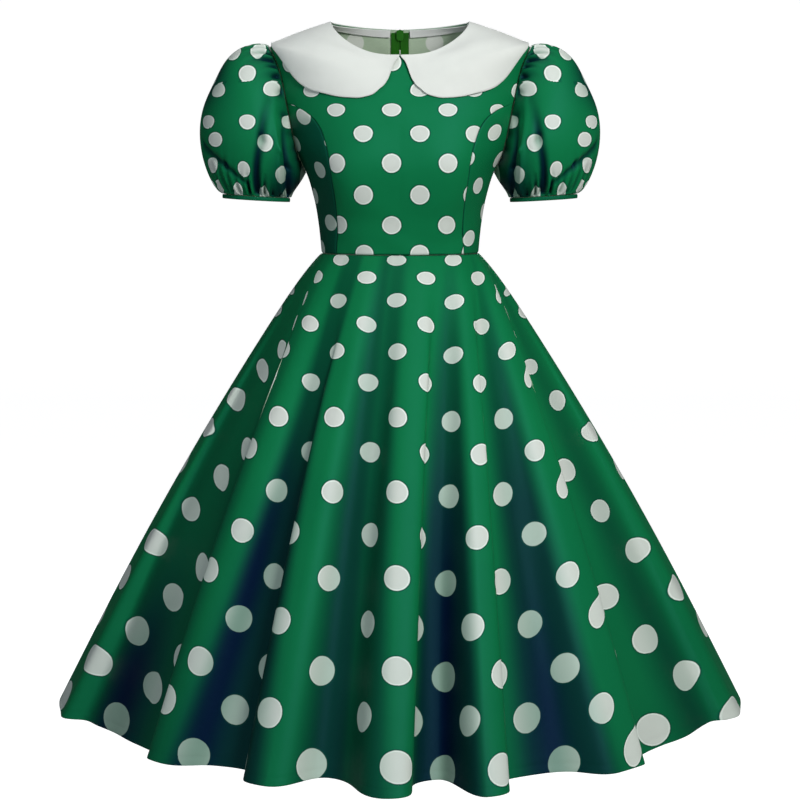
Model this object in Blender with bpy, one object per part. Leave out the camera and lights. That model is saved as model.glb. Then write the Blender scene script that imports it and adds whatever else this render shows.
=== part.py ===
"""A-line swing dress with a flat round collar and short puff sleeves, standing open as if worn.

Metres, +Z up. The front of the dress faces -Y and the wearer's left side is at +X.
The origin is midway between the shoulder seams, at the height where the shoulders carry them.
Angles run round the body from the front centre (0) over the wearer's left side (90 degrees)
to the back centre (180 degrees); negative angles are on the wearer's right side.
"""
import math
from collections import namedtuple

import bmesh
import bpy
import numpy as np

# ---------------------------------------------------------------- driving dimensions
WALL = 0.0015                 # one layer of dress cloth with its pressed seam allowances
COLLAR_WALL = 0.0018          # two layers turned and pressed
BINDING_WALL = 0.0010
TAPE_WALL = 0.0010
SEAM_GAP = 0.0003             # between the edges of two joined pieces
COLLAR_LIFT = 0.0010          # from the bodice to the underside of the collar, at the neck
COLLAR_SPRING = 0.0009        # how much further its outer edge stands off
INNER_LIFT = 0.0006           # from the inside of the bodice to what is sewn in there
ZIP_SLIT = 0.0019             # width of the open slit over the zip's chain

WAIST_Z = -0.325
HEM_Z = -1.007
SKIRT_DROP = WAIST_Z - HEM_Z
WAIST_HALF_WIDTH = 0.1172
WAIST_DEPTH_FRONT = 0.088
WAIST_DEPTH_BACK = 0.080
HEM_HALF_WIDTH = 0.495
HEM_DEPTH = 0.458
BINDING_HEIGHT = 0.0115
TRIAL_LEVEL = 0.25            # level step over which the binding's height is measured
ZIP_BELOW_WAIST = 0.185       # the zip runs this far into the skirt
ZIP_TAPE_WIDTH = 0.0125       # each half
ZIP_TOP_LEVEL = 2.93          # bodice level of the top of the tapes
WAIST_EASE = 0.0006           # extra room of the tapes where they turn over the waist seam
CUFF_HEIGHT = 0.006

SIDE = math.radians(90.0)
BACK = math.radians(180.0)

# Level rings of the bodice form, from the waist (level 0) through the underarm (1) and the
# shoulder tip (2) to the neckline (3). Above the underarm a ring climbs towards the shoulder.
Ring = namedtuple("Ring", "level z_front z_side z_back half_width depth_front depth_back")
BODICE_RINGS = (
    Ring(0.00, -0.3250, -0.3250, -0.3250, 0.1172, 0.088, 0.080),
    Ring(0.35, -0.2830, -0.2830, -0.2830, 0.1213, 0.094, 0.083),
    Ring(0.70, -0.2430, -0.2430, -0.2430, 0.1283, 0.104, 0.089),
    Ring(1.00, -0.1980, -0.2050, -0.2010, 0.1400, 0.112, 0.095),
    Ring(1.25, -0.1640, -0.1720, -0.1640, 0.1580, 0.110, 0.099),
    Ring(1.50, -0.1320, -0.1200, -0.1240, 0.1730, 0.105, 0.100),
    Ring(1.75, -0.1040, -0.0600, -0.0830, 0.1850, 0.098, 0.096),
    Ring(2.00, -0.0810, -0.0205, -0.0480, 0.1913, 0.090, 0.089),
    Ring(2.15, -0.0735, -0.0148, -0.0380, 0.1785, 0.087, 0.086),
    Ring(2.50, -0.0570, -0.0020, -0.0180, 0.1470, 0.079, 0.077),
    Ring(3.00, -0.0373, 0.0135, 0.0077, 0.1012, 0.070, 0.066),
)
UNDERARM, SHOULDER_TIP, NECKLINE = 1.0, 2.0, 3.0
BODICE_SQUARENESS = 2.2       # superellipse power of every bodice ring
SHOULDER_POWER = 1.5          # how sharply a ring climbs to the shoulder
NECK_POWERS = (1.45, 1.75)     # how the front neckline scoops down from the shoulder
NECK_SCOOP_FROM = 2.3         # level where the scoop begins
CUP_HEIGHT = 0.013            # ease shaped by the princess seams over the bust
CUP_ANGLE, CUP_ANGLE_SPREAD = 36.0, 22.0
CUP_LEVEL, CUP_LEVEL_SPREAD = 0.95, 0.50

ARMHOLE_LEVEL = 1.5           # middle of the armhole, which spans level 1 to level 2
ARMHOLE_FRONT_DEG = 14.0      # half opening angle towards the front
ARMHOLE_BACK_DEG = 16.0
ARMHOLE_DROP, ARMHOLE_RADIUS = 0.185, 0.17      # from tip to underarm, and from the body's axis

# Princess seam of the front, from the waist up to the armhole.
SeamPoint = namedtuple("SeamPoint", "level degrees")
PRINCESS_SEAM = (
    SeamPoint(0.00, 59.0),
    SeamPoint(0.40, 53.0),
    SeamPoint(0.80, 47.8),
    SeamPoint(1.05, 47.0),
    SeamPoint(1.30, 50.5),
    SeamPoint(1.43, 55.0),
    SeamPoint(1.51, 61.0),
    SeamPoint(1.55, 67.5),
    SeamPoint(1.575, 76.4),
)
PRINCESS_TOP = PRINCESS_SEAM[-1].level
PRINCESS_TIP_DROP = 0.0022    # level by which the side panel's tip stays under the seam's end

# Outer edge of one collar half, from the front centre over the shoulder to the back centre.
COLLAR_EDGE = (
    SeamPoint(2.920, 0.9),
    SeamPoint(2.645, 8.0),
    SeamPoint(2.105, 11.8),
    SeamPoint(1.860, 18.5),
    SeamPoint(1.735, 28.0),
    SeamPoint(1.690, 38.0),
    SeamPoint(1.680, 50.0),
    SeamPoint(1.745, 67.5),
    SeamPoint(1.955, 79.0),
    SeamPoint(2.045, 90.0),
    SeamPoint(1.990, 101.0),
    SeamPoint(1.900, 116.0),
    SeamPoint(1.860, 134.0),
    SeamPoint(1.880, 150.0),
    SeamPoint(1.960, 161.0),
    SeamPoint(2.130, 168.0),
    SeamPoint(2.450, 172.5),
    SeamPoint(2.900, 175.6),
)

# Skirt folds, one row each, in order round the hem from the front centre fold to the wearer's
# left and on. A ridge and the valley after it run straight from the waist to the hem.
Fold = namedtuple("Fold", "waist_deg hem_deg hem_radius")
SKIRT_FOLDS = (
    Fold(-180.0, -180.0, 0.436),
    Fold(-167.0, -168.0, 0.484),
    Fold(-156.0, -157.0, 0.426),
    Fold(-145.0, -145.5, 0.482),
    Fold(-134.0, -134.0, 0.428),
    Fold(-121.0, -120.5, 0.492),
    Fold(-106.0, -105.5, 0.450),
    Fold(-90.0, -90.0, 0.522),
    Fold(-79.0, -56.0, 0.450),
    Fold(-61.0, -43.5, 0.474),
    Fold(-49.0, -32.0, 0.425),
    Fold(-25.0, -22.0, 0.480),
    Fold(-10.0, -13.0, 0.421),
    Fold(20.0, -2.5, 0.497),
    Fold(42.0, 6.8, 0.424),
    Fold(55.0, 13.0, 0.500),
    Fold(66.0, 26.5, 0.433),
    Fold(75.0, 38.0, 0.487),
    Fold(83.0, 56.0, 0.454),
    Fold(90.0, 90.0, 0.522),
    Fold(106.0, 106.0, 0.446),
    Fold(121.0, 120.0, 0.490),
    Fold(134.0, 133.0, 0.427),
    Fold(146.0, 146.0, 0.486),
    Fold(157.0, 158.0, 0.425),
    Fold(168.0, 169.0, 0.480),
    Fold(180.0, 180.0, 0.436),
)
FOLD_GROWTH = 0.9             # power of the depth of a fold against the distance from the waist
YOKE_FLARE, YOKE_FADE = 0.010, 0.044    # extra flare just under the waist seam
SKIRT_BELLY = 0.014           # outward bow of the flare halfway down
HEM_SQUARENESS = 1.85

# Puff sleeve: how far the outer line of the sleeve swings out from the armhole and from the
# cuff, at the top, the front, the underarm and the back of the arm.
Reach = namedtuple("Reach", "degrees from_armhole from_cuff")
SLEEVE_REACH = (
    Reach(0.0, (0.094, 0.000, 0.026), (0.070, 0.000, 0.072)),
    Reach(90.0, (0.030, -0.052, 0.016), (0.012, -0.052, 0.052)),
    Reach(180.0, (0.004, 0.000, -0.012), (-0.008, 0.000, 0.014)),
    Reach(270.0, (0.030, 0.050, 0.018), (0.012, 0.054, 0.052)),
)
CUFF_CENTRE = (0.2144, 0.0, -0.2438)
CUFF_HALF_WIDTH, CUFF_HALF_DEPTH = 0.0502, 0.0490
CUFF_TILT = 0.058             # rise of the cuff per metre towards its outer side
CUFF_WALL = 0.0020
CAP_GATHERS, CAP_GATHER_DEPTH, CAP_GATHER_REACH = 11, 0.0028, 0.09
CUFF_GATHERS, CUFF_GATHER_DEPTH, CUFF_GATHER_REACH = 16, 0.0030, 0.08
CAP_UNEVENNESS, CUFF_UNEVENNESS = 0.8, 0.9      # how far gathers crowd, in radians of their wave

# Long soft creases of each sleeve: where round the arm, how deep, how wide, and along what
# part of the sleeve (0 at the armhole, 1 at the cuff).
Crease = namedtuple("Crease", "degrees depth spread start end")
SLEEVE_CREASES = (
    Crease(122.0, 0.0060, 9.0, 0.22, 1.0),
    Crease(96.0, 0.0038, 8.0, 0.50, 1.0),
    Crease(38.0, 0.0036, 9.0, 0.52, 0.98),
    Crease(236.0, 0.0055, 10.0, 0.25, 1.0),
    Crease(300.0, 0.0040, 9.0, 0.45, 1.0),
)

# Rows of points along each form.
LOWER_BODICE_LEVELS = (0.0, 0.2, 0.4, 0.6, 0.8, 1.0)
ARMHOLE_STEPS_DEG = (14.0, 30.0, 50.0, 68.0, 82.0, 91.0, 95.7, 98.63, 112.0, 130.0, 150.0, 167.0)
UPPER_BODICE_LEVELS = (2.0, 2.08, 2.2, 2.5, 2.75, 3.0)
FRONT_COLUMNS = 18
SIDE_FRONT_COLUMNS = 4
BACK_COLUMNS = 10
SKIRT_ROWS = (0.0, 0.035, 0.08, 0.14, 0.21, 0.30, 0.44, 0.60, 0.74, 0.88, 1.0)
COLUMNS_PER_FOLD_SIDE = 4
WIDE_FOLD_DEG = 20.0          # a fold side wider than this has twice the columns
SLEEVE_ROWS = (0.0, 0.06, 0.17, 0.36, 0.57, 0.77, 0.92, 1.0)
SLEEVE_COLUMNS = 60
CUFF_COLUMNS = 30
COLLAR_LEVELS = (3.0, 2.75, 2.5, 2.2, 2.08, 2.0, 1.933)   # in step with the bodice's rows
COLLAR_ROW_SHARE = 0.04       # least part of the collar's depth that a row takes
COLLAR_COLUMNS = 34
COLLAR_CROWDING = 0.35        # how far its columns crowd towards the rounded ends

# Zip slider and pull, in the slider's own frame: across, down the back, and outwards.
SLIDER_DROP = 0.0085          # from the neckline to the slider's middle
SLIDER_PLATE = (0.0056, 0.0100, 0.0010)
SLIDER_PLATE_LIFT = 0.0005
SLIDER_NECK_WIDTH = 0.0011
SLIDER_NECK_LENGTH = 0.0060
SLIDER_INNER_WIDTH, SLIDER_INNER_LENGTH = 0.0105, 0.0150
SLIDER_POINT = 0.0022         # height of the inner body's pointed top, all above the neckline
SLIDER_TAPER_LENGTH, SLIDER_TAPER_SHARE = 0.0040, 0.6       # narrowing of its lower end
SLIDER_INNER_WALL = 0.0022
SLIDER_CORNER, SLIDER_NECK_CORNER = 0.0018, 0.0004
JOIN_DEPTH = 0.0004           # how deep the slider's parts are let into one another
BRIDGE_WIDTH = 0.0014
BRIDGE_HALF_LENGTH = 0.0034
BRIDGE_HEIGHT = 0.0034
BRIDGE_BAR = 0.0009
BRIDGE_ROUNDNESS = 0.6        # below 1 the bridge is fuller at its shoulders
BRIDGE_STEPS = 8
PIN_RADIUS = 0.0006
PIN_LIFT = 0.0012             # hinge axis above the slider's outer plate
PULL_LENGTH = 0.0240
PULL_WIDTH_TOP, PULL_WIDTH_END = 0.0044, 0.0062
PULL_WALL = 0.0011
PULL_EYE_WIDTH, PULL_EYE_LENGTH = 0.0024, 0.0060

SATIN_ROUGHNESS, COTTON_ROUGHNESS = 0.35, 0.7
METAL_ROUGHNESS, METALLIC = 0.4, 0.6
SATIN_GREEN = (0.008, 0.150, 0.072, 1.0)
COLLAR_WHITE = (0.72, 0.76, 0.70, 1.0)
BINDING_GREY = (0.55, 0.57, 0.54, 1.0)
ZIP_GREEN = (0.020, 0.130, 0.006, 1.0)
ZIP_METAL_GREEN = (0.015, 0.100, 0.010, 1.0)


# ---------------------------------------------------------------- small helpers
def smooth_through(knots, values, at):
    """Smooth curve through values given at rising knots."""
    knots = np.asarray(knots, float)
    values = np.asarray(values, float)
    at = np.asarray(at, float)
    step = np.diff(knots)
    rise = np.diff(values) / step
    slope = np.empty_like(values)
    slope[0], slope[-1] = rise[0], rise[-1]
    slope[1:-1] = (rise[:-1] * step[1:] + rise[1:] * step[:-1]) / (step[:-1] + step[1:])
    i = np.clip(np.searchsorted(knots, at, side="right") - 1, 0, len(knots) - 2)
    u = (at - knots[i]) / step[i]
    return (
        (2 * u**3 - 3 * u**2 + 1) * values[i]
        + (u**3 - 2 * u**2 + u) * step[i] * slope[i]
        + (3 * u**2 - 2 * u**3) * values[i + 1]
        + (u**3 - u**2) * step[i] * slope[i + 1]
    )


def smoothstep(low, high, x):
    """0 below low, 1 above high, smooth in between."""
    t = np.clip((x - low) / (high - low), 0.0, 1.0)
    return t * t * (3.0 - 2.0 * t)


def superellipse_radius(angle, half_width, depth, power):
    """Distance from the axis to a rounded outline, in the direction of angle."""
    side = (np.abs(np.sin(angle)) / half_width) ** power
    ahead = (np.abs(np.cos(angle)) / depth) ** power
    return (side + ahead) ** (-1.0 / power)


def surface_normal(surface, u, v):
    """Unit normal of surface(u, v), for a surface whose v runs up when u runs to +X."""
    step = 1e-4
    along_u = surface(u + step, v) - surface(u - step, v)
    along_v = surface(u, v + step) - surface(u, v - step)
    normal = np.cross(along_u, along_v)
    return normal / np.linalg.norm(normal, axis=-1, keepdims=True)


def mirrored(points):
    """The same points on the wearer's other side."""
    return points * np.array([-1.0, 1.0, 1.0])


def add_material(obj, colour, roughness, metallic=0.0):
    """Give an object its own Principled material."""
    material = bpy.data.materials.new(obj.name + "_finish")
    material.use_nodes = True
    shader = material.node_tree.nodes["Principled BSDF"]
    shader.inputs["Base Color"].default_value = colour
    shader.inputs["Roughness"].default_value = roughness
    shader.inputs["Metallic"].default_value = metallic
    material.diffuse_color = colour
    obj.data.materials.append(material)


def finish_object(bm, name, colour, roughness, metallic=0.0, origin=(0.0, 0.0, 0.0)):
    """Turn a bmesh into a smooth-shaded object whose origin lies at origin."""
    bmesh.ops.recalc_face_normals(bm, faces=bm.faces)
    bmesh.ops.translate(bm, verts=bm.verts, vec=[-c for c in origin])
    mesh = bpy.data.meshes.new(name)
    bm.to_mesh(mesh)
    bm.free()
    mesh.shade_smooth()
    mesh.set_sharp_from_angle(angle=math.radians(50.0))
    obj = bpy.data.objects.new(name, mesh)
    obj.location = origin
    bpy.context.scene.collection.objects.link(obj)
    add_material(obj, colour, roughness, metallic)
    return obj


def build_wall(name, outer, inner, colour, roughness, closed_round=False):
    """Closed sheet of cloth between two grids of points with the same rows and columns."""
    rows, columns = outer.shape[:2]
    bm = bmesh.new()
    grids = [[[bm.verts.new(p) for p in row] for row in grid] for grid in (outer, inner)]
    last = columns if closed_round else columns - 1
    for grid in grids:
        for i in range(rows - 1):
            for j in range(last):
                k = (j + 1) % columns
                bm.faces.new((grid[i][j], grid[i][k], grid[i + 1][k], grid[i + 1][j]))
    front, behind = grids
    for i in (0, rows - 1):
        for j in range(last):
            k = (j + 1) % columns
            bm.faces.new((front[i][j], front[i][k], behind[i][k], behind[i][j]))
    if not closed_round:
        for j in (0, columns - 1):
            for i in range(rows - 1):
                bm.faces.new((front[i][j], front[i + 1][j], behind[i + 1][j], behind[i][j]))
    return finish_object(bm, name, colour, roughness)


# ---------------------------------------------------------------- the forms of the dress
def bodice_surface(angle, level):
    """Outside of the bodice."""
    angle, level = np.broadcast_arrays(np.asarray(angle, float), np.asarray(level, float))
    levels = [ring.level for ring in BODICE_RINGS]
    ring = {
        column: smooth_through(levels, [getattr(r, column) for r in BODICE_RINGS], level)
        for column in Ring._fields[1:]
    }
    front = np.cos(angle) >= 0.0
    depth = np.where(front, ring["depth_front"], ring["depth_back"])
    z_middle = np.where(front, ring["z_front"], ring["z_back"])
    radius = superellipse_radius(angle, ring["half_width"], depth, BODICE_SQUARENESS)
    from_front = np.degrees(np.arctan2(np.abs(np.sin(angle)), np.cos(angle)))
    cup = ((from_front - CUP_ANGLE) / CUP_ANGLE_SPREAD) ** 2
    cup = cup + ((level - CUP_LEVEL) / CUP_LEVEL_SPREAD) ** 2
    radius = radius + CUP_HEIGHT * np.exp(-cup)
    ahead = np.abs(np.cos(angle))
    climb = ahead**SHOULDER_POWER
    scooped = 1.0 - (1.0 - ahead ** NECK_POWERS[0]) ** NECK_POWERS[1]
    climb = climb + (scooped - climb) * front * smoothstep(NECK_SCOOP_FROM, NECKLINE, level)
    height = ring["z_side"] + (z_middle - ring["z_side"]) * climb
    return np.stack([radius * np.sin(angle), -radius * np.cos(angle), height], -1)


def flare(start, end, share):
    """Half size of the skirt at a share of its drop: quick at the waist, then bowed."""
    yoke = YOKE_FLARE * (1.0 - np.exp(-share / YOKE_FADE))
    return start + (end - start - YOKE_FLARE) * share + yoke + SKIRT_BELLY * np.sin(np.pi * share)


def skirt_base_radius(angle, share):
    """Plan radius of the skirt without folds."""
    waist_depth = np.where(np.cos(angle) >= 0.0, WAIST_DEPTH_FRONT, WAIST_DEPTH_BACK)
    half_width = flare(WAIST_HALF_WIDTH, HEM_HALF_WIDTH, share)
    depth = flare(waist_depth, HEM_DEPTH, share)
    power = BODICE_SQUARENESS + (HEM_SQUARENESS - BODICE_SQUARENESS) * np.sqrt(share)
    return superellipse_radius(angle, half_width, depth, power)


def fold_line_angles(waist_angles, hem_angles, share):
    """Angles at one height of lines that run straight from the waist to the hem."""
    share = np.maximum(share, 1e-9)
    waist_radius = skirt_base_radius(waist_angles, 0.0)
    hem_radius = skirt_base_radius(hem_angles, 1.0)
    spread = flare(WAIST_DEPTH_FRONT, HEM_DEPTH, share)
    weight = (spread - WAIST_DEPTH_FRONT) / (HEM_DEPTH - WAIST_DEPTH_FRONT)
    turn = hem_angles - waist_angles
    across = (1 - weight) * waist_radius + weight * hem_radius * np.cos(turn)
    aside = weight * hem_radius * np.sin(turn)
    return waist_angles + np.arctan2(aside, across)


def fold_wave(angle, share):
    """Radial offset of the folds at an angle and a share of the drop."""
    waist_angles = np.radians([fold.waist_deg for fold in SKIRT_FOLDS])
    hem_angles = np.radians([fold.hem_deg for fold in SKIRT_FOLDS])
    hem_radii = np.array([fold.hem_radius for fold in SKIRT_FOLDS])
    offsets = hem_radii - skirt_base_radius(hem_angles, 1.0)
    lines = fold_line_angles(waist_angles, hem_angles, share)
    wrapped = (angle - lines[0]) % (2 * np.pi) + lines[0]
    i = np.clip(np.searchsorted(lines, wrapped, side="right") - 1, 0, len(lines) - 2)
    phase = (wrapped - lines[i]) / (lines[i + 1] - lines[i])
    blend = (1.0 - np.cos(np.pi * phase)) / 2.0
    return (offsets[i] * (1 - blend) + offsets[i + 1] * blend) * share**FOLD_GROWTH


def skirt_surface(angle, share):
    """Outside of the skirt, for share 0 at the waist seam to 1 at the hem."""
    angle, share = np.broadcast_arrays(np.asarray(angle, float), np.asarray(share, float))
    wave = np.empty(angle.shape)
    for index in np.ndindex(angle.shape):
        wave[index] = fold_wave(angle[index], max(float(share[index]), 0.0))
    radius = skirt_base_radius(angle, np.maximum(share, 0.0)) + wave
    height = WAIST_Z - SEAM_GAP - (SKIRT_DROP - SEAM_GAP) * share
    return np.stack([radius * np.sin(angle), -radius * np.cos(angle), height], -1)


def armhole_angle(level, towards_front):
    """Angle of the armhole edge at a level."""
    across = np.clip((ARMHOLE_LEVEL - level) * 2.0, -1.0, 1.0)
    reach = np.sqrt(1.0 - across**2)
    half_degrees = ARMHOLE_FRONT_DEG if towards_front else ARMHOLE_BACK_DEG
    turn = math.radians(half_degrees) * reach
    return SIDE - turn if towards_front else SIDE + turn


def armhole_corner(round_arm, shrink):
    """Corner of the cut armhole, drawn in by shrink metres."""
    level = ARMHOLE_LEVEL + (0.5 - shrink / ARMHOLE_DROP) * np.cos(round_arm)
    half = np.where(np.sin(round_arm) >= 0.0, ARMHOLE_FRONT_DEG, ARMHOLE_BACK_DEG)
    turn = (np.radians(half) - shrink / ARMHOLE_RADIUS) * np.sin(round_arm)
    return bodice_surface(SIDE - turn, level)


def armhole_loop(round_arm, shrink):
    """Point of the armhole at an angle round the arm, 0 on the shoulder and 90 in front.

    It runs straight between the corners that the bodice panels have at their rows.
    """
    steps = np.radians((0.0,) + ARMHOLE_STEPS_DEG + (180.0,))
    corners = np.concatenate([np.pi - steps[::-1], np.pi + steps[1:]])
    wrapped = np.mod(round_arm, 2 * np.pi)
    i = np.clip(np.searchsorted(corners, wrapped, side="right") - 1, 0, len(corners) - 2)
    share = ((wrapped - corners[i]) / (corners[i + 1] - corners[i]))[..., None]
    near, far = armhole_corner(corners[i], shrink), armhole_corner(corners[i + 1], shrink)
    return near * (1 - share) + far * share


def cuff_loop(round_arm, lift):
    """Point of the cuff's outline, lift metres above its middle."""
    across = CUFF_HALF_WIDTH * np.cos(round_arm)
    return np.stack(
        [
            CUFF_CENTRE[0] + across,
            CUFF_CENTRE[1] - CUFF_HALF_DEPTH * np.sin(round_arm),
            CUFF_CENTRE[2] + CUFF_TILT * across + lift,
        ],
        -1,
    )


def four_way_blend(values, angle):
    """Smooth round blend of values given at 0, 90, 180 and 270 degrees."""
    top, front, under, back = (np.asarray(value, float) for value in values)
    angle = angle[..., None]
    return (
        (top + front + under + back) / 4.0
        + (top - under) / 2.0 * np.cos(angle)
        + (front - back) / 2.0 * np.sin(angle)
        + (top - front + under - back) / 4.0 * np.cos(2.0 * angle)
    )


def sleeve_base(round_arm, share):
    """Smooth puff of the sleeve, for share 0 at the armhole to 1 at the cuff."""
    start = armhole_loop(round_arm, SEAM_GAP)
    end = cuff_loop(round_arm, CUFF_HEIGHT / 2 + SEAM_GAP)
    near_start = start + four_way_blend([row.from_armhole for row in SLEEVE_REACH], round_arm)
    near_end = end + four_way_blend([row.from_cuff for row in SLEEVE_REACH], round_arm)
    t = share[..., None]
    return (
        (1 - t) ** 3 * start
        + 3 * (1 - t) ** 2 * t * near_start
        + 3 * (1 - t) * t**2 * near_end
        + t**3 * end
    )


def gather_wave(round_arm, share):
    """How far the gathers and creases push the sleeve's cloth in or out."""
    run = share / CAP_GATHER_REACH
    cap_fade = run * np.exp(1.0 - run)
    cap_side = 0.5 + 0.5 * np.cos(round_arm)
    cap = np.sin(CAP_GATHERS * round_arm + CAP_UNEVENNESS * np.sin(2 * round_arm + 0.4))
    run = (1.0 - share) / CUFF_GATHER_REACH
    cuff_fade = run * np.exp(1.0 - run)
    cuff = np.sin(CUFF_GATHERS * round_arm + CUFF_UNEVENNESS * np.sin(3 * round_arm + 1.1))
    wave = CAP_GATHER_DEPTH * cap_fade * cap_side * cap + CUFF_GATHER_DEPTH * cuff_fade * cuff
    for crease in SLEEVE_CREASES:
        away = (round_arm - math.radians(crease.degrees) + np.pi) % (2 * np.pi) - np.pi
        across = np.exp(-((away / math.radians(crease.spread)) ** 2))
        run = np.clip((share - crease.start) / (crease.end - crease.start), 0.0, 1.0)
        wave = wave - crease.depth * across * np.sin(np.pi * run**0.8)
    return wave


def sleeve_surface(round_arm, share):
    """Outside of the wearer's left sleeve with its gathers."""
    round_arm, share = np.broadcast_arrays(np.asarray(round_arm, float), np.asarray(share, float))
    normal = surface_normal(sleeve_base, round_arm, share)
    inside = np.clip(share, 0.0, 1.0)
    return sleeve_base(round_arm, share) + normal * gather_wave(round_arm, inside)[..., None]


# ---------------------------------------------------------------- bodice
def armhole_levels():
    """Levels beside the armhole, closer together at its two ends."""
    return [ARMHOLE_LEVEL - 0.5 * math.cos(math.radians(step)) for step in ARMHOLE_STEPS_DEG]


def bodice_levels():
    """Levels of the rows of every bodice panel, from the waist to the neckline."""
    return list(LOWER_BODICE_LEVELS) + armhole_levels() + list(UPPER_BODICE_LEVELS)


def princess_angle(level):
    """Angle of the princess seam at a level."""
    levels = [point.level for point in PRINCESS_SEAM]
    return np.radians(smooth_through(levels, [point.degrees for point in PRINCESS_SEAM], level))


def seam_inset(angle, level):
    """Angle that moves an upright edge by half a seam gap at this place."""
    radius = float(np.hypot(*bodice_surface(angle, level)[:2]))
    return SEAM_GAP / 2.0 / radius


def princess_inset(level):
    """Angle that moves the princess seam's edge by half a seam gap, square to the seam."""
    near, far = np.array([level - 0.02, level])
    run = bodice_surface(princess_angle(far), far) - bodice_surface(princess_angle(near), near)
    slant = float(np.linalg.norm(run) / run[2])
    return seam_inset(float(princess_angle(level)), level) * slant


def front_edge(level):
    """Outer edge of the front centre panel: princess seam, armhole, then shoulder seam."""
    if level < PRINCESS_TOP - 1e-6:
        return float(princess_angle(level)) - princess_inset(level)
    if level < SHOULDER_TIP:
        return armhole_angle(level, True)
    return SIDE - seam_inset(SIDE, level)


def side_front_edges(level):
    """Both edges of a side front panel."""
    inner = float(princess_angle(level)) + princess_inset(level)
    if level <= UNDERARM:
        return inner, SIDE - seam_inset(SIDE, level)
    return inner, armhole_angle(level, True)


def back_edges(level):
    """Both edges of a back panel, from the side to the slit over the zip."""
    radius = float(np.hypot(*bodice_surface(BACK, level)[:2]))
    centre = BACK - ZIP_SLIT / 2.0 / radius
    if UNDERARM < level < SHOULDER_TIP:
        return armhole_angle(level, False), centre
    return SIDE + seam_inset(SIDE, level), centre


def bodice_panel(levels, edges, columns):
    """Outer and inner points of a bodice panel between two edge angles at each level.

    A level is one number, or a pair for a row that slants from its first edge to its last.
    """
    shares = np.linspace(0.0, 1.0, columns + 1)
    angles = np.array([first + (last - first) * shares for first, last in edges])
    heights = np.array([np.linspace(*np.broadcast_to(level, 2), columns + 1) for level in levels])
    outer = bodice_surface(angles, heights)
    return outer, outer - WALL * surface_normal(bodice_surface, angles, heights)


def make_bodice():
    """Front centre panel, two side front panels and two back panels."""
    levels = bodice_levels()
    edges = [(-front_edge(level), front_edge(level)) for level in levels]
    outer, inner = bodice_panel(levels, edges, FRONT_COLUMNS)
    build_wall("bodice_front", outer, inner, SATIN_GREEN, SATIN_ROUGHNESS)

    # The last row slants up along the princess seam to the armhole.
    side_levels = [level for level in levels if level < PRINCESS_TOP - 0.003]
    edges = [side_front_edges(level) for level in side_levels]
    tip = PRINCESS_TOP - PRINCESS_TIP_DROP
    side_levels[-1] = (side_levels[-1], tip)
    edges[-1] = (edges[-1][0], armhole_angle(tip, True))
    outer, inner = bodice_panel(side_levels, edges, SIDE_FRONT_COLUMNS)
    build_wall("bodice_side_left", outer, inner, SATIN_GREEN, SATIN_ROUGHNESS)
    build_wall("bodice_side_right", mirrored(outer), mirrored(inner), SATIN_GREEN, SATIN_ROUGHNESS)

    outer, inner = bodice_panel(levels, [back_edges(level) for level in levels], BACK_COLUMNS)
    build_wall("bodice_back_left", outer, inner, SATIN_GREEN, SATIN_ROUGHNESS)
    build_wall("bodice_back_right", mirrored(outer), mirrored(inner), SATIN_GREEN, SATIN_ROUGHNESS)


# ---------------------------------------------------------------- collar and binding
def collar_edge_level(degrees):
    """Level of the collar's outer edge at an angle."""
    return smooth_through(
        [point.degrees for point in COLLAR_EDGE], [point.level for point in COLLAR_EDGE], degrees
    )


def make_collar():
    """Two flat collar halves that lie on the bodice from the front to the back centre."""
    first, last = COLLAR_EDGE[0].degrees, COLLAR_EDGE[-1].degrees
    spread = (1.0 - np.cos(np.linspace(0.0, np.pi, COLLAR_COLUMNS + 1))) / 2.0
    even = np.linspace(0.0, 1.0, COLLAR_COLUMNS + 1)
    degrees = first + (last - first) * (even + COLLAR_CROWDING * (spread - even))
    edge = collar_edge_level(degrees)
    rows_left = np.arange(len(COLLAR_LEVELS), 0, -1)[:, None]
    least = edge + (NECKLINE - edge) * COLLAR_ROW_SHARE * rows_left
    levels = np.vstack([np.maximum(np.array(COLLAR_LEVELS)[:, None], least), edge])
    angles = np.repeat(np.radians(degrees)[None, :], len(levels), axis=0)
    normal = surface_normal(bodice_surface, angles, levels)
    out_share = (NECKLINE - levels) / (NECKLINE - edge)
    lift = (COLLAR_LIFT + COLLAR_SPRING * out_share)[..., None]
    under = bodice_surface(angles, levels) + lift * normal
    top = under + COLLAR_WALL * normal
    build_wall("collar_left", top, under, COLLAR_WHITE, SATIN_ROUGHNESS)
    build_wall("collar_right", mirrored(top), mirrored(under), COLLAR_WHITE, SATIN_ROUGHNESS)


def make_binding():
    """Neck binding on the inside of the neckline, in step with the panels' columns."""
    radius = float(np.hypot(*bodice_surface(BACK, NECKLINE)[:2]))
    end = BACK - (ZIP_TAPE_WIDTH + ZIP_SLIT) / radius
    first, last = back_edges(NECKLINE)
    back = np.linspace(first, last, BACK_COLUMNS + 1)
    back = np.append(back[(back > SIDE + 0.01) & (back < end - 0.01)], end)
    half = np.append(np.linspace(0.0, SIDE, FRONT_COLUMNS // 2 + 1), back)
    angles = np.concatenate([-half[:0:-1], half])
    top = bodice_surface(angles, NECKLINE)
    lower = bodice_surface(angles, NECKLINE - TRIAL_LEVEL)
    depth = TRIAL_LEVEL * BINDING_HEIGHT / np.linalg.norm(top - lower, axis=-1)
    rows = np.array([0.0, 0.5, 1.0])[:, None]
    levels = NECKLINE - rows * depth[None, :]
    angles = np.repeat(angles[None, :], len(rows), axis=0)
    normal = surface_normal(bodice_surface, angles, levels)
    outer = bodice_surface(angles, levels) - (WALL + INNER_LIFT) * normal
    build_wall("neck_binding", outer, outer - BINDING_WALL * normal, BINDING_GREY, COTTON_ROUGHNESS)


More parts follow.
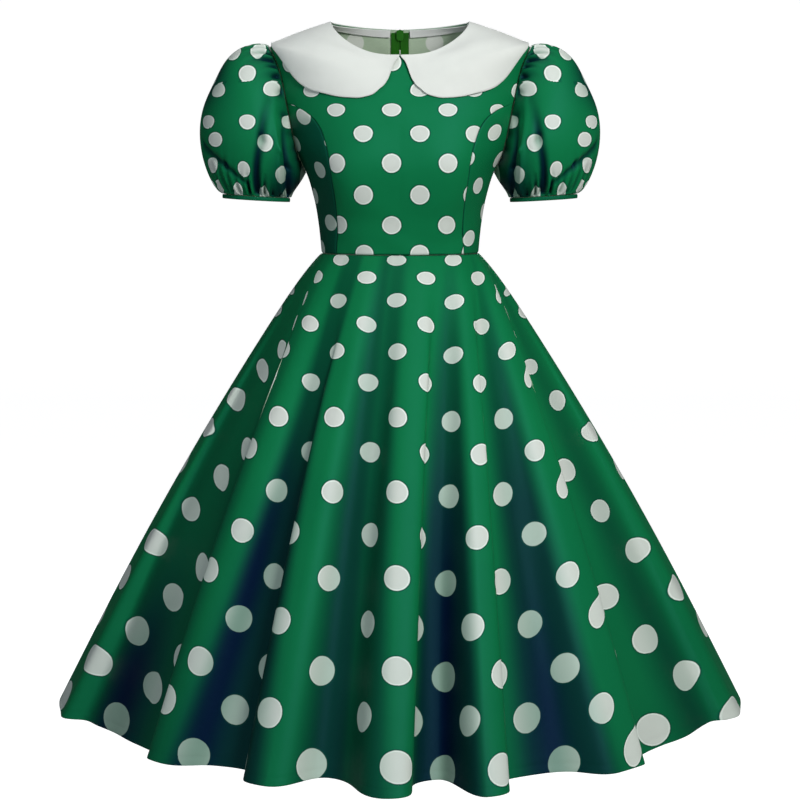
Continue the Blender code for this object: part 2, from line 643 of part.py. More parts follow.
# ---------------------------------------------------------------- sleeves
def make_sleeves():
    """Two puff sleeves, each open at the armhole and gathered into a narrow cuff."""
    round_arm = np.linspace(0.0, 2 * np.pi, SLEEVE_COLUMNS, endpoint=False)[None, :]
    share = np.asarray(SLEEVE_ROWS)[:, None]
    outer = sleeve_surface(round_arm, share)
    inner = outer - WALL * surface_normal(sleeve_base, *np.broadcast_arrays(round_arm, share))
    finish = (SATIN_GREEN, SATIN_ROUGHNESS)
    build_wall("sleeve_left", outer, inner, *finish, closed_round=True)
    build_wall("sleeve_right", mirrored(outer), mirrored(inner), *finish, closed_round=True)

    round_cuff = np.linspace(0.0, 2 * np.pi, CUFF_COLUMNS, endpoint=False)
    outer = np.stack([cuff_loop(round_cuff, lift) for lift in (CUFF_HEIGHT / 2, -CUFF_HEIGHT / 2)])
    axis = np.array(CUFF_CENTRE)
    inner = outer.copy()
    shrink = 1.0 - CUFF_WALL / CUFF_HALF_DEPTH
    inner[..., :2] = axis[:2] + (outer[..., :2] - axis[:2]) * shrink
    build_wall("cuff_left", outer, inner, *finish, closed_round=True)
    build_wall("cuff_right", mirrored(outer), mirrored(inner), *finish, closed_round=True)


# ---------------------------------------------------------------- skirt
def skirt_columns(first_deg, last_deg):
    """Waist and hem angles of the columns between two folds, in step with the folds."""
    waist, hem = [], []
    for here, after in zip(SKIRT_FOLDS, SKIRT_FOLDS[1:]):
        if here.hem_deg < first_deg or after.hem_deg > last_deg:
            continue
        wide = after.hem_deg - here.hem_deg > WIDE_FOLD_DEG
        count = COLUMNS_PER_FOLD_SIDE * (2 if wide else 1)
        shares = np.arange(count) / count
        waist.extend(here.waist_deg + (after.waist_deg - here.waist_deg) * shares)
        hem.extend(here.hem_deg + (after.hem_deg - here.hem_deg) * shares)
    waist.append(last_deg)
    hem.append(last_deg)
    return np.radians(waist), np.radians(hem)


def skirt_gap(share, at_back):
    """Width of the gap at a skirt seam; the back seam is open over the zip."""
    over_zip = at_back and share * SKIRT_DROP < ZIP_BELOW_WAIST
    return ZIP_SLIT if over_zip else SEAM_GAP


def skirt_panel(name, first_deg, last_deg):
    """Skirt panel between two seams, each edge set back by half of its gap."""
    waist, hem = skirt_columns(first_deg, last_deg)
    angles = np.array([fold_line_angles(waist, hem, share) for share in SKIRT_ROWS])
    shares = np.repeat(np.asarray(SKIRT_ROWS)[:, None], angles.shape[1], axis=1)
    for column, degrees, sign in ((0, first_deg, 1.0), (-1, last_deg, -1.0)):
        edge = skirt_surface(angles[:, column], shares[:, column])
        radius = np.hypot(edge[:, 0], edge[:, 1])
        gaps = np.array([skirt_gap(share, abs(degrees) > 170.0) for share in SKIRT_ROWS])
        angles[:, column] += sign * gaps / 2.0 / radius
    outer = skirt_surface(angles, shares)
    inner = outer - WALL * surface_normal_down(skirt_surface, angles, shares)
    inner[0, :, 2] = np.minimum(inner[0, :, 2], outer[0, :, 2])
    inner[-1, :, 2] = outer[-1, :, 2]
    build_wall(name, outer, inner, SATIN_GREEN, SATIN_ROUGHNESS)


def surface_normal_down(surface, u, v):
    """Unit outward normal of a surface whose v runs down."""
    return -surface_normal(surface, u, np.clip(v, 2e-4, 1.0))


def make_skirt():
    """Front panel and two back panels, with a flat hem."""
    skirt_panel("skirt_front", -90.0, 90.0)
    skirt_panel("skirt_back_left", 90.0, 180.0)
    skirt_panel("skirt_back_right", -180.0, -90.0)


# ---------------------------------------------------------------- zip
def make_zip_tapes():
    """Two woven tapes inside the back, from just under the neckline into the skirt."""
    inset = WALL + INNER_LIFT
    across = ZIP_SLIT / 2 + ZIP_TAPE_WIDTH * np.array([0.0, 0.5, 1.0])
    outer, inner = [], []

    def add_row(points, normal, lift):
        outer.append(points - lift * normal)
        inner.append(points - (lift + TAPE_WALL) * normal)

    levels = [ZIP_TOP_LEVEL] + [level for level in reversed(bodice_levels()) if level > 0.1]
    for level in (level for level in levels if level <= ZIP_TOP_LEVEL):
        angles = BACK - np.arctan2(across, bodice_surface(BACK, level)[1])
        heights = np.full(3, level)
        points = bodice_surface(angles, heights)
        add_row(points, surface_normal(bodice_surface, angles, heights), inset)
    angles = BACK - np.arctan2(across, WAIST_DEPTH_BACK)
    level_out = np.stack([np.sin(angles), -np.cos(angles), np.zeros(3)], -1)
    add_row(bodice_surface(angles, np.zeros(3)), level_out, inset + WAIST_EASE)
    zip_end = ZIP_BELOW_WAIST / SKIRT_DROP
    for share in [row for row in SKIRT_ROWS if 0.0 < row < zip_end - 0.02] + [zip_end]:
        angles = BACK - np.arctan2(across, skirt_surface(BACK, share)[1])
        shares = np.full(3, share)
        normal = surface_normal_down(skirt_surface, angles, shares)
        add_row(skirt_surface(angles, shares), normal, inset)
    outer, inner = np.array(outer), np.array(inner)
    build_wall("zip_tape_left", outer, inner, ZIP_GREEN, COTTON_ROUGHNESS)
    build_wall("zip_tape_right", mirrored(outer), mirrored(inner), ZIP_GREEN, COTTON_ROUGHNESS)


def slider_frame():
    """Middle of the slider on the outside of the back, with its across, down and out axes."""
    top = bodice_surface(BACK, NECKLINE)
    below = bodice_surface(BACK, NECKLINE - 0.4)
    down = (below - top) / np.linalg.norm(below - top)
    down[0] = 0.0
    out = np.array([0.0, -down[2], down[1]])
    middle = top + SLIDER_DROP * down
    return middle, np.array([1.0, 0.0, 0.0]), down, out


def prism(bm, outline, low, high, frame, along):
    """Closed prism of an outline; along names the axis it is extruded on, 0, 1 or 2."""
    middle, across, down, out = frame
    axes = (across, down, out)
    others = [k for k in range(3) if k != along]
    ends = []
    for end in (low, high):
        ring = []
        for first, second in outline:
            point = middle + axes[others[0]] * first + axes[others[1]] * second + axes[along] * end
            ring.append(bm.verts.new(point))
        ends.append(ring)
    bm.faces.new(ends[0])
    bm.faces.new(list(reversed(ends[1])))
    for j in range(len(outline)):
        k = (j + 1) % len(outline)
        bm.faces.new((ends[0][j], ends[1][j], ends[1][k], ends[0][k]))


def rounded_rectangle(width, length, corner, steps=3):
    """Outline of a rectangle with round corners, centred on 0, 0."""
    points = []
    for turn, (cx, cy) in enumerate(((1, 1), (-1, 1), (-1, -1), (1, -1))):
        for step in range(steps + 1):
            angle = math.radians(90.0 * (turn + step / steps))
            points.append(
                (
                    cx * (width / 2 - corner) + corner * math.cos(angle),
                    cy * (length / 2 - corner) + corner * math.sin(angle),
                )
            )
    return points


def union_into(name, pieces, colour, roughness, metallic, origin):
    """Join overlapping closed pieces into one body with exact booleans."""
    objects = []
    for index, bm in enumerate(pieces):
        objects.append(finish_object(bm, f"{name}_stock_{index}", colour, roughness, metallic))
    body = objects[0]
    for other in objects[1:]:
        union = body.modifiers.new("join", "BOOLEAN")
        union.operation = "UNION"
        union.object = other
    evaluated = body.evaluated_get(bpy.context.evaluated_depsgraph_get())
    bm = bmesh.new()
    bm.from_mesh(evaluated.to_mesh())
    for obj in objects:
        bpy.data.objects.remove(obj)
    return finish_object(bm, name, colour, roughness, metallic, origin)


def make_slider():
    """Slider: inner body behind the tapes, a neck through the slit, outer plate and bridge."""
    frame = slider_frame()
    inner_high = -(WALL + INNER_LIFT + TAPE_WALL + SEAM_GAP)
    inner_low = inner_high - SLIDER_INNER_WALL
    plate_low = SLIDER_PLATE_LIFT
    plate_high = plate_low + SLIDER_PLATE[2]

    inner_body = bmesh.new()
    half, top = SLIDER_INNER_WIDTH / 2, -SLIDER_DROP
    end = top + SLIDER_INNER_LENGTH
    narrow = half * SLIDER_TAPER_SHARE
    taper = end - SLIDER_TAPER_LENGTH
    house = [(0.0, top - SLIDER_POINT), (half, top), (half, taper), (narrow, end),
             (-narrow, end), (-half, taper), (-half, top)]
    prism(inner_body, house, inner_low, inner_high, frame, 2)

    neck = bmesh.new()
    neck_outline = rounded_rectangle(SLIDER_NECK_WIDTH, SLIDER_NECK_LENGTH, SLIDER_NECK_CORNER)
    prism(neck, neck_outline, inner_high - JOIN_DEPTH, plate_low + JOIN_DEPTH, frame, 2)

    plate = bmesh.new()
    plate_outline = rounded_rectangle(SLIDER_PLATE[0], SLIDER_PLATE[1], SLIDER_CORNER)
    prism(plate, plate_outline, plate_low, plate_high, frame, 2)

    bridge = bmesh.new()
    arches = []
    for half_length, rise in ((BRIDGE_HALF_LENGTH, BRIDGE_HEIGHT),
                              (BRIDGE_HALF_LENGTH - BRIDGE_BAR, BRIDGE_HEIGHT - BRIDGE_BAR)):
        turns = [math.pi * step / BRIDGE_STEPS for step in range(BRIDGE_STEPS + 1)]
        arches.append([(-half_length * math.cos(turn),
                        plate_high - JOIN_DEPTH + rise * max(math.sin(turn), 0.0) ** BRIDGE_ROUNDNESS)
                       for turn in turns])
    arch = arches[0] + arches[1][::-1]
    prism(bridge, arch, -BRIDGE_WIDTH / 2, BRIDGE_WIDTH / 2, frame, 0)
    union_into("zip_slider", [inner_body, neck, plate, bridge], ZIP_METAL_GREEN, METAL_ROUGHNESS, METALLIC,
               (0.0, 0.0, 0.0))


def make_pull():
    """Pull tab: a pin under the bridge, two arms and a tapered tab, hanging down the back."""
    middle, across, down, out = slider_frame()
    hinge = middle + out * (SLIDER_PLATE_LIFT + SLIDER_PLATE[2] + PIN_LIFT)
    frame = (hinge, across, down, out)

    pin = bmesh.new()
    circle = [(PIN_RADIUS * math.cos(math.radians(a)), PIN_RADIUS * math.sin(math.radians(a)))
              for a in range(0, 360, 30)]
    prism(pin, circle, -PULL_WIDTH_TOP / 2, PULL_WIDTH_TOP / 2, frame, 0)

    tab = bmesh.new()
    half_top, half_end = PULL_WIDTH_TOP / 2, PULL_WIDTH_END / 2
    outline = [(half_top, -PIN_RADIUS), (half_top, PULL_EYE_LENGTH)]
    for step in range(7):
        angle = math.radians(90.0 * (step / 3.0))
        outline.append((half_end * math.cos(angle),
                        PULL_LENGTH - half_end + half_end * math.sin(angle)))
    outline += [(-half_top, PULL_EYE_LENGTH), (-half_top, -PIN_RADIUS)]
    hole_half = PULL_EYE_WIDTH / 2
    outline += [(-hole_half, -PIN_RADIUS), (-hole_half, PULL_EYE_LENGTH),
                (hole_half, PULL_EYE_LENGTH), (hole_half, -PIN_RADIUS)]
    prism(tab, outline, -PULL_WALL / 2, PULL_WALL / 2, frame, 2)
    union_into("zip_pull", [tab, pin], ZIP_METAL_GREEN, METAL_ROUGHNESS, METALLIC, tuple(hinge))


def main():
    """Clear the scene and build every piece."""
    for obj in list(bpy.data.objects):
        bpy.data.objects.remove(obj)
    make_bodice()
    make_collar()
    make_binding()
    make_sleeves()
    make_skirt()
    make_zip_tapes()
    make_slider()
    make_pull()


main()
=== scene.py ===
"""Looks of the a-line swing dress: dotted satin shells, white collar, zip, light and camera.

Metres, +Z up. The front of the dress faces -Y and the wearer's left side is at +X.
Every cloth piece is a thin closed shell on the form of the solid that it replaces, with the finer
folds, seams and stitches of the real dress. Angles run round the body from the front centre (0)
over the wearer's left side (90 degrees) to the back centre (180 degrees).
"""

import math
from collections import namedtuple

import bpy
import numpy as np
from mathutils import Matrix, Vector


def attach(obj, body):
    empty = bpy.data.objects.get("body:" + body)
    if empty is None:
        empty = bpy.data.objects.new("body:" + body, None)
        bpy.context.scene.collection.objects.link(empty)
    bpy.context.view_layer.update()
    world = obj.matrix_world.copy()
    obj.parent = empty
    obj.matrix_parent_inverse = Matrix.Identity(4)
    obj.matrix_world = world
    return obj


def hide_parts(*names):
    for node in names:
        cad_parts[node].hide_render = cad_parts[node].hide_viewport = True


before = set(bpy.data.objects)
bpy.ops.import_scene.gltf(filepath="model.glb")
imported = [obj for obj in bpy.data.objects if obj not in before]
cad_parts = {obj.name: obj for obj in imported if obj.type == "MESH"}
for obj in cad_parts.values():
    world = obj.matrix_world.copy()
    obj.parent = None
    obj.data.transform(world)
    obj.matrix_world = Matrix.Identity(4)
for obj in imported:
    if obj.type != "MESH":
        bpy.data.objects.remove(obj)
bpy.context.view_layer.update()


def table(row_type, *rows):
    """Rows of a table, with the columns that row_type names."""
    return tuple(row_type(*row) for row in rows)


def column_of(rows, name):
    """One named column of a table."""
    return np.array([getattr(row, name) for row in rows])


# ---------------------------------------------------------------- driving dimensions of the form
WAIST_Z = -0.325
HEM_Z = -1.007
SKIRT_DROP = WAIST_Z - HEM_Z
WAIST_HALF_WIDTH = 0.1172
WAIST_DEPTH_FRONT = 0.088
WAIST_DEPTH_BACK = 0.080
HEM_HALF_WIDTH = 0.495
HEM_DEPTH = 0.458
SIDE = math.radians(90.0)
BACK = math.radians(180.0)

CLOTH = 0.0009                # thickness of one layer of satin as modelled
SOLID_WALL = 0.0015           # wall of the solid that a shell replaces
COLLAR_WALL = 0.0018          # two layers turned and pressed
COLLAR_LIFT, COLLAR_SPRING, COLLAR_RIPPLE = 0.0010, 0.0009, 0.0005
COLLAR_STITCH_IN, COLLAR_GROOVE, COLLAR_GROOVE_WIDTH = 0.0032, 0.00012, 0.0008
COLLAR_PINCH = 0.8            # how nearly the collar's two layers meet at its turned edge
INNER_LIFT = 0.0006
BINDING_HEIGHT, BINDING_WALL = 0.0115, 0.0009
BINDING_PUCKERS, BINDING_PUCKER = 95.0, 0.00016
SEAM_GAP = 0.00012            # between two sewn panels, at the bottom of their seam
SEAM_ROLL, SEAM_DIP = 0.0030, 0.0011      # how wide and how deep cloth rolls into a seam
ZIP_SLIT = 0.0019
ZIP_BELOW_WAIST = 0.185
ZIP_TAPE_WIDTH, TAPE_WALL = 0.0125, 0.0010
TAPE_THINNED, TAPE_BEADS, TAPE_BEAD = 0.7, 3, 0.00012       # share of its solid's wall; ribs woven in
ZIP_TOP_LEVEL = 2.93
CUFF_HEIGHT, CUFF_WALL = 0.006, 0.0020
COIL_PITCH, COIL_RADIUS, COIL_HALF_WIDTH = 0.0013, 0.00045, 0.0020
COIL_DEPTH, COIL_TOP_LEVEL = 0.0016, 2.70
STITCH_PITCH, STITCH_SHARE, STITCH_RADIUS, STITCH_LIFT = 0.0025, 0.72, 0.00022, 0.00012
ZIP_STITCH_ASIDE, STITCH_TOP_LEVEL = 0.0072, 2.97

Ring = namedtuple("Ring", "level z_front z_side z_back half_width depth_front depth_back")
BODICE_RINGS = table(
    Ring,
    (0.00, -0.3250, -0.3250, -0.3250, 0.1172, 0.088, 0.080),
    (0.35, -0.2830, -0.2830, -0.2830, 0.1213, 0.094, 0.083),
    (0.70, -0.2430, -0.2430, -0.2430, 0.1283, 0.104, 0.089),
    (1.00, -0.1980, -0.2050, -0.2010, 0.1400, 0.112, 0.095),
    (1.25, -0.1640, -0.1720, -0.1640, 0.1580, 0.110, 0.099),
    (1.50, -0.1320, -0.1200, -0.1240, 0.1730, 0.105, 0.100),
    (1.75, -0.1040, -0.0600, -0.0830, 0.1850, 0.098, 0.096),
    (2.00, -0.0810, -0.0205, -0.0480, 0.1913, 0.090, 0.089),
    (2.15, -0.0735, -0.0148, -0.0380, 0.1785, 0.087, 0.086),
    (2.50, -0.0570, -0.0020, -0.0180, 0.1470, 0.079, 0.077),
    (3.00, -0.0373, 0.0135, 0.0077, 0.1012, 0.070, 0.066),
)
UNDERARM, SHOULDER_TIP, NECKLINE = 1.0, 2.0, 3.0
BODICE_SQUARENESS = 2.2
SHOULDER_POWER = 1.5
NECK_POWERS = (1.45, 1.75)
NECK_SCOOP_FROM = 2.3
CUP_HEIGHT = 0.013
CUP_ANGLE, CUP_ANGLE_SPREAD = 36.0, 22.0
CUP_LEVEL, CUP_LEVEL_SPREAD = 0.95, 0.50

ARMHOLE_LEVEL = 1.5
ARMHOLE_FRONT_DEG, ARMHOLE_BACK_DEG = 14.0, 16.0
ARMHOLE_DROP, ARMHOLE_RADIUS = 0.185, 0.17

SeamPoint = namedtuple("SeamPoint", "level degrees")
PRINCESS_SEAM = table(
    SeamPoint,
    (0.00, 59.0), (0.40, 53.0), (0.80, 47.8), (1.05, 47.0), (1.30, 50.5), (1.43, 55.0),
    (1.51, 61.0), (1.55, 67.5), (1.575, 76.4),
)
PRINCESS_TOP = PRINCESS_SEAM[-1].level
PRINCESS_TIP_DROP = 0.0022

COLLAR_EDGE = table(
    SeamPoint,
    (2.920, 0.9), (2.645, 6.6), (2.105, 11.4), (1.860, 18.5), (1.735, 28.0), (1.690, 38.0),
    (1.680, 50.0), (1.745, 67.5), (1.955, 79.0), (2.045, 90.0), (1.990, 101.0), (1.900, 116.0),
    (1.860, 134.0), (1.880, 150.0), (1.960, 161.0), (2.130, 168.0), (2.450, 172.5), (2.900, 175.6),
)

# Skirt folds in order round the hem, valleys and ridges by turns, a valley first. A line runs
# straight from the waist to the hem. steep tells how upright the cloth stands between this line
# and the next (0.16 is square to the hem line, more hangs over), and push moves that upright
# stretch towards the next line, both as shares of the way between the two lines.
Fold = namedtuple("Fold", "waist_deg hem_deg hem_radius steep push")
SKIRT_FOLDS = table(
    Fold,
    (-180.0, -180.0, 0.436, 0.12, 0.05),
    (-167.0, -168.0, 0.484, 0.05, 0.00),
    (-156.0, -157.0, 0.426, 0.17, 0.08),
    (-145.0, -145.5, 0.482, 0.04, 0.00),
    (-134.0, -134.0, 0.428, 0.10, 0.05),
    (-121.0, -120.5, 0.492, 0.15, -0.08),
    (-106.0, -105.5, 0.450, 0.06, 0.00),
    (-90.0, -90.0, 0.522, 0.13, -0.05),
    (-79.0, -56.0, 0.450, 0.21, 0.20),
    (-61.0, -43.5, 0.474, 0.04, 0.00),
    (-49.0, -32.0, 0.425, 0.20, 0.04),
    (-25.0, -22.0, 0.480, 0.03, 0.00),
    (-10.0, -13.0, 0.421, 0.05, 0.02),
    (20.0, -2.5, 0.497, 0.160, -0.02),
    (42.0, 6.8, 0.424, 0.04, 0.00),
    (55.0, 13.0, 0.500, 0.20, -0.22),
    (66.0, 26.5, 0.433, 0.05, 0.03),
    (75.0, 38.0, 0.487, 0.21, -0.20),
    (83.0, 56.0, 0.454, 0.13, 0.05),
    (90.0, 90.0, 0.522, 0.06, 0.00),
    (106.0, 106.0, 0.446, 0.15, 0.08),
    (121.0, 120.0, 0.490, 0.05, 0.00),
    (134.0, 133.0, 0.427, 0.06, 0.03),
    (146.0, 146.0, 0.486, 0.17, -0.10),
    (157.0, 158.0, 0.425, 0.05, 0.00),
    (168.0, 169.0, 0.480, 0.12, -0.06),
    (180.0, 180.0, 0.436, 0.00, 0.00),
)
FOLD_GROWTH, RIPPLE_GROWTH = 0.9, 1.3
STEEP_FROM, STEEP_FULL = 0.02, 0.30       # shares of the drop over which folds turn steep

# How finely the pieces are meshed. The skirt has this many columns between two fold lines, and
# more where these are further apart at the hem than usual.
COLUMNS_PER_SIDE, USUAL_FOLD_DEG = 22, 14.0
FRONT_COLUMNS, SIDE_COLUMNS, BACK_COLUMNS = 110, 40, 64
COLLAR_COLUMNS, COLLAR_MESH_ROWS = 150, 34
SLEEVE_COLUMNS, SLEEVE_MESH_ROWS = 400, 84
CUFF_COLUMNS, CUFF_MESH_ROWS = 200, 9
TAPE_COLUMNS, TAPE_ROW_STEP = 9, 0.004

# Painted shade of the skirt: soft dark streaks painted into its colour in the valleys and on the
# shaded sides of ridges. Edges and middles count the folds above from 0 and run straight
# from the waist to the hem; darkness is given at the waist and at 0.2, 0.5 and all of the drop.
PaintedFoldShade = namedtuple("PaintedFoldShade", "left left_hem left_soft right right_hem right_soft darkness")
FRONT_PAINTED_SHADES = table(
    PaintedFoldShade,
    (7.2, 7.7, 0.15, 8.95, 8.95, 0.15, (0.15, 0.30, 0.55, 0.55)),
    (10.0, 9.1, 0.22, 10.65, 11.0, 0.12, (0.50, 0.70, 1.00, 1.00)),
    (11.6, 11.45, 0.35, 12.2, 12.35, 0.25, (0.48, 0.68, 0.90, 1.00)),
    (12.0, 12.0, 0.30, 12.55, 13.08, 0.18, (0.42, 0.60, 0.72, 0.75)),
    (13.95, 13.6, 0.18, 14.55, 15.0, 0.22, (0.08, 0.62, 1.00, 1.00)),
    (15.88, 15.88, 0.12, 16.3, 17.0, 0.25, (0.10, 0.60, 1.00, 1.00)),
    (17.85, 18.05, 0.18, 18.15, 18.45, 0.25, (0.20, 0.35, 0.60, 0.80)),
)
FRONT_SHADE_LINES = (7.0, 19.0)
# Painted shade in each valley outside those lines, round the back, given at the shares below.
BACK_PAINTED_DARKNESS = (0.20, 0.45, 0.75, 0.85)
DARKNESS_SHARES = (0.0, 0.2, 0.5, 1.0)
# Painted shade: the whole skirt is painted a little darker towards the hem.
HEM_PAINTED_SHADE = 0.24            # all of the cloth turns a little darker towards the hem
# Painted shade: the deepest, bluest cores of the painted streaks, each from a share of the drop on.
PaintedShadeCore = namedtuple("PaintedShadeCore", "line line_hem half start")       # deepest blue, from a share on
PAINTED_SHADE_CORES = table(
    PaintedShadeCore,
    (7.85, 7.85, 0.22, 0.55),
    (10.15, 9.42, 0.36, 0.30),
    (14.2, 14.15, 0.36, 0.36),
    (16.15, 16.15, 0.26, 0.55),
    (2.0, 2.0, 0.25, 0.50),
    (24.0, 24.0, 0.25, 0.50),
)
YOKE_FLARE, YOKE_FADE = 0.010, 0.044
SKIRT_BELLY = 0.014
HEM_SQUARENESS = 1.85

Reach = namedtuple("Reach", "degrees from_armhole from_cuff")
SLEEVE_REACH = table(
    Reach,
    (0.0, (0.094, 0.000, 0.026), (0.070, 0.000, 0.072)),
    (90.0, (0.030, -0.052, 0.016), (0.012, -0.052, 0.052)),
    (180.0, (0.004, 0.000, -0.012), (-0.008, 0.000, 0.014)),
    (270.0, (0.030, 0.050, 0.018), (0.012, 0.054, 0.052)),
)
CUFF_CENTRE = (0.2144, 0.0, -0.2438)
CUFF_HALF_WIDTH, CUFF_HALF_DEPTH = 0.0502, 0.0490
CUFF_TILT = 0.058

# ---------------------------------------------------------------- fine form, added here
# Soft secondary ripples of the skirt: how many round the hem, phase, height at the hem.
Ripple = namedtuple("Ripple", "count phase height")
SKIRT_RIPPLES = table(Ripple, (31, 0.7, 0.0016), (23, 2.1, 0.0020), (47, 4.0, 0.0009))
HEM_DEPTH_SEWN = 0.012        # depth of the turned-up hem
HEM_DIMPLE, HEM_DIMPLE_WIDTH = 0.0004, 0.0012       # where its stitches pull the cloth in
HEM_STEP, HEM_LAYER = 0.0004, 0.45       # how soon, and by how much, two layers are thicker than one

LONG_PULL, WAIST_PULL, WAIST_PULL_REACH = 0.0005, 0.0006, 0.45

# Creases and gathers of a sleeve, from one place on it to another. Degrees run round the arm
# from the shoulder (0) over the front (90) to the underarm (180); share runs from the armhole
# (0) to the cuff (1). Depths are metres, given at both ends, and a negative one is a ridge.
SleeveCrease = namedtuple("SleeveCrease", "start_deg start end_deg end width depth depth_end")
SLEEVE_CREASES = table(
    SleeveCrease,
    (80.0, 0.20, 93.0, 0.48, 0.0070, 0.0010, 0.0048),
    (93.0, 0.48, 98.0, 0.98, 0.0070, 0.0048, 0.0088),
    (79.0, 0.12, 112.0, 0.40, 0.0055, -0.0008, -0.0034),
    (112.0, 0.40, 138.0, 0.90, 0.0065, -0.0034, -0.0030),
    (94.0, 0.08, 132.0, 0.42, 0.0070, 0.0020, 0.0045),
    (132.0, 0.42, 160.0, 0.92, 0.0090, 0.0045, 0.0062),
    (20.0, 0.73, 56.0, 0.81, 0.0036, 0.0042, 0.0042),
    (56.0, 0.81, 84.0, 0.90, 0.0036, 0.0042, 0.0026),
    (50.0, 0.90, 54.0, 1.00, 0.0030, 0.0010, 0.0040),
    (68.0, 0.87, 70.0, 1.00, 0.0032, 0.0006, 0.0045),
    (84.0, 0.83, 85.0, 1.00, 0.0038, 0.0008, 0.0056),
    (107.0, 0.77, 109.0, 1.00, 0.0040, 0.0010, 0.0060),
    (122.0, 0.84, 123.0, 1.00, 0.0034, 0.0008, 0.0050),
    (26.0, 0.00, 14.0, 0.11, 0.0034, 0.0046, 0.0004),
    (36.0, 0.00, 28.0, 0.16, 0.0036, 0.0056, 0.0006),
    (44.0, 0.00, 42.0, 0.19, 0.0040, 0.0066, 0.0006),
    (52.0, 0.00, 54.0, 0.14, 0.0034, 0.0054, 0.0005),
    (61.0, 0.00, 66.0, 0.12, 0.0036, 0.0050, 0.0004),
    (72.0, 0.00, 78.0, 0.09, 0.0034, 0.0036, 0.0004),
    (332.0, 0.80, 296.0, 0.92, 0.0050, 0.0038, 0.0036),
    (278.0, 0.25, 250.0, 0.96, 0.0090, 0.0014, 0.0075),
    (236.0, 0.20, 206.0, 0.90, 0.0085, 0.0025, 0.0060),
    (328.0, 0.00, 330.0, 0.12, 0.0048, 0.0055, 0.0005),
    (346.0, 0.00, 344.0, 0.09, 0.0040, 0.0030, 0.0004),
)
METRES_PER_DEGREE, METRES_PER_SHARE = 0.00155, 0.17       # rough size of a sleeve's cloth
CREASE_SHADE = 0.0055         # a crease this deep is painted the full shade colour
CREASE_END = 0.022            # creases fade out over this share before a seam
CREASE_PAINTED_BLUE_SHADE = 0.0110          # a crease this deep is painted all blue, as shade
UNDERARM_PAINTED_BLUE_SHADE = 0.70          # painted blue shade covers much of the cloth low on the side to the body
UNDERARM_SHADE, CAP_SHADE, CAP_SHADE_REACH = 0.7, 0.5, 0.16       # how dark a sleeve is painted there, as shade
SLEEVE_FLAT = (0.42, 0.14, 34.0, 0.0062)      # share, spread, spread in degrees and depth of its slant
CAP_GATHERS, CAP_GATHER_DEPTH, CAP_GATHER_REACH = 27, 0.0016, 0.045
CUFF_GATHERS, CUFF_GATHER_DEPTH, CUFF_GATHER_REACH = 38, 0.0022, 0.050
# The last of these is painted shade: how dark the cuffs are painted all round.
CUFF_PUCKERS, CUFF_PUCKER, CUFF_BULGE, CUFF_SHADE = 61, 0.00035, 0.0007, 0.45

# ---------------------------------------------------------------- dot print
# Print coordinates count columns and rows of dots: a dot sits at every whole column in an even
# row, and halfway between in an odd row.
SKIRT_COLUMN, SKIRT_COLUMN_GROWTH = 0.086, 0.027          # column spacing at the waist, growth to the hem
SKIRT_COLUMN_START = 0.005
SKIRT_ROW_LENGTHS = (0.009, 0.040, 0.077, 0.116, 0.161, 0.207, 0.266, 0.315,
                     0.377, 0.437, 0.500, 0.562, 0.628, 0.687, 0.754)    # cloth from the waist to each row
SKIRT_DOT_RADII = (0.0140, 0.0150, 0.0182, 0.0225)        # from the waist to the hem, evenly spaced
SKIRT_DOT_HEIGHTS = (0.0100, 0.0155, 0.0182, 0.0222)      # the same, measured down the cloth
SKIRT_SLIP, SKIRT_SLIP_FROM, SKIRT_SLIP_OVER = 0.60, 0.030, 0.200

# Where a fold hangs over, columns of the print are tucked out of sight behind it. A negative
# number of them leaves the print wider there. line is a place among the folds, counted from 0.
Tuck = namedtuple("Tuck", "line at_waist at_hem")
SKIRT_TUCKS = table(
    Tuck,
    (8.5, 1.12, 0.10),
    (13.2, 0.02, -0.06),
    (15.5, -0.02, -0.44),
    (17.5, 1.08, 0.40),
)
TUCK_REACH = 0.25
TUCK_FADE = 0.13              # tucks grow over this share below the waist
FRONT_CENTRE_LINE = 13.0
# Past the outermost tucks the print is stretched sideways, and its rows start high and drop.
FLANK_LINES = (8.0, 17.3)
FLANK_STRETCH = (0.35, 0.50)
FLANK_ROW_RISE, FLANK_ROW_FALL = 0.38, 2.6
FLANK_DOT_GROWTH = (1.15, 0.82)
VALLEY_ROWS = 0.16            # rows that a valley of the skirt gains
BODICE_COLUMN, BODICE_ROW, BODICE_DOT = 0.0815, 0.045, 0.0138
BODICE_DOT_TALL = 0.305       # half the height of a dot, in rows
BODICE_COLUMN_START = 0.0528
BACK_COLUMN_START, BACK_ROW_START = (0.052, 0.068), -0.0107       # left and right, then the height
SIDE_COLUMN_START, SIDE_ROW_START = 0.150, (-0.148, -0.125)
SIDE_SHADES = ((0.12, 0.0), (0.55, 0.30))       # how dark and how blue the left and right panels are painted, as shade
SIDE_SHADE_FROM, SIDE_SHADE_FULL = -0.118, -0.135
SIDE_ROW_CROWD, SIDE_ROW_SLANT = 1.17, -0.13              # the side panels' print lies askew
BODICE_ROW_HEIGHTS = (-0.323, -0.2818, -0.238, -0.192, -0.149, -0.1153, -0.089, -0.048)
SLEEVE_ROW, SLEEVE_DOT = 0.0375, 0.0122
SLEEVE_FIRST_ROW = -3
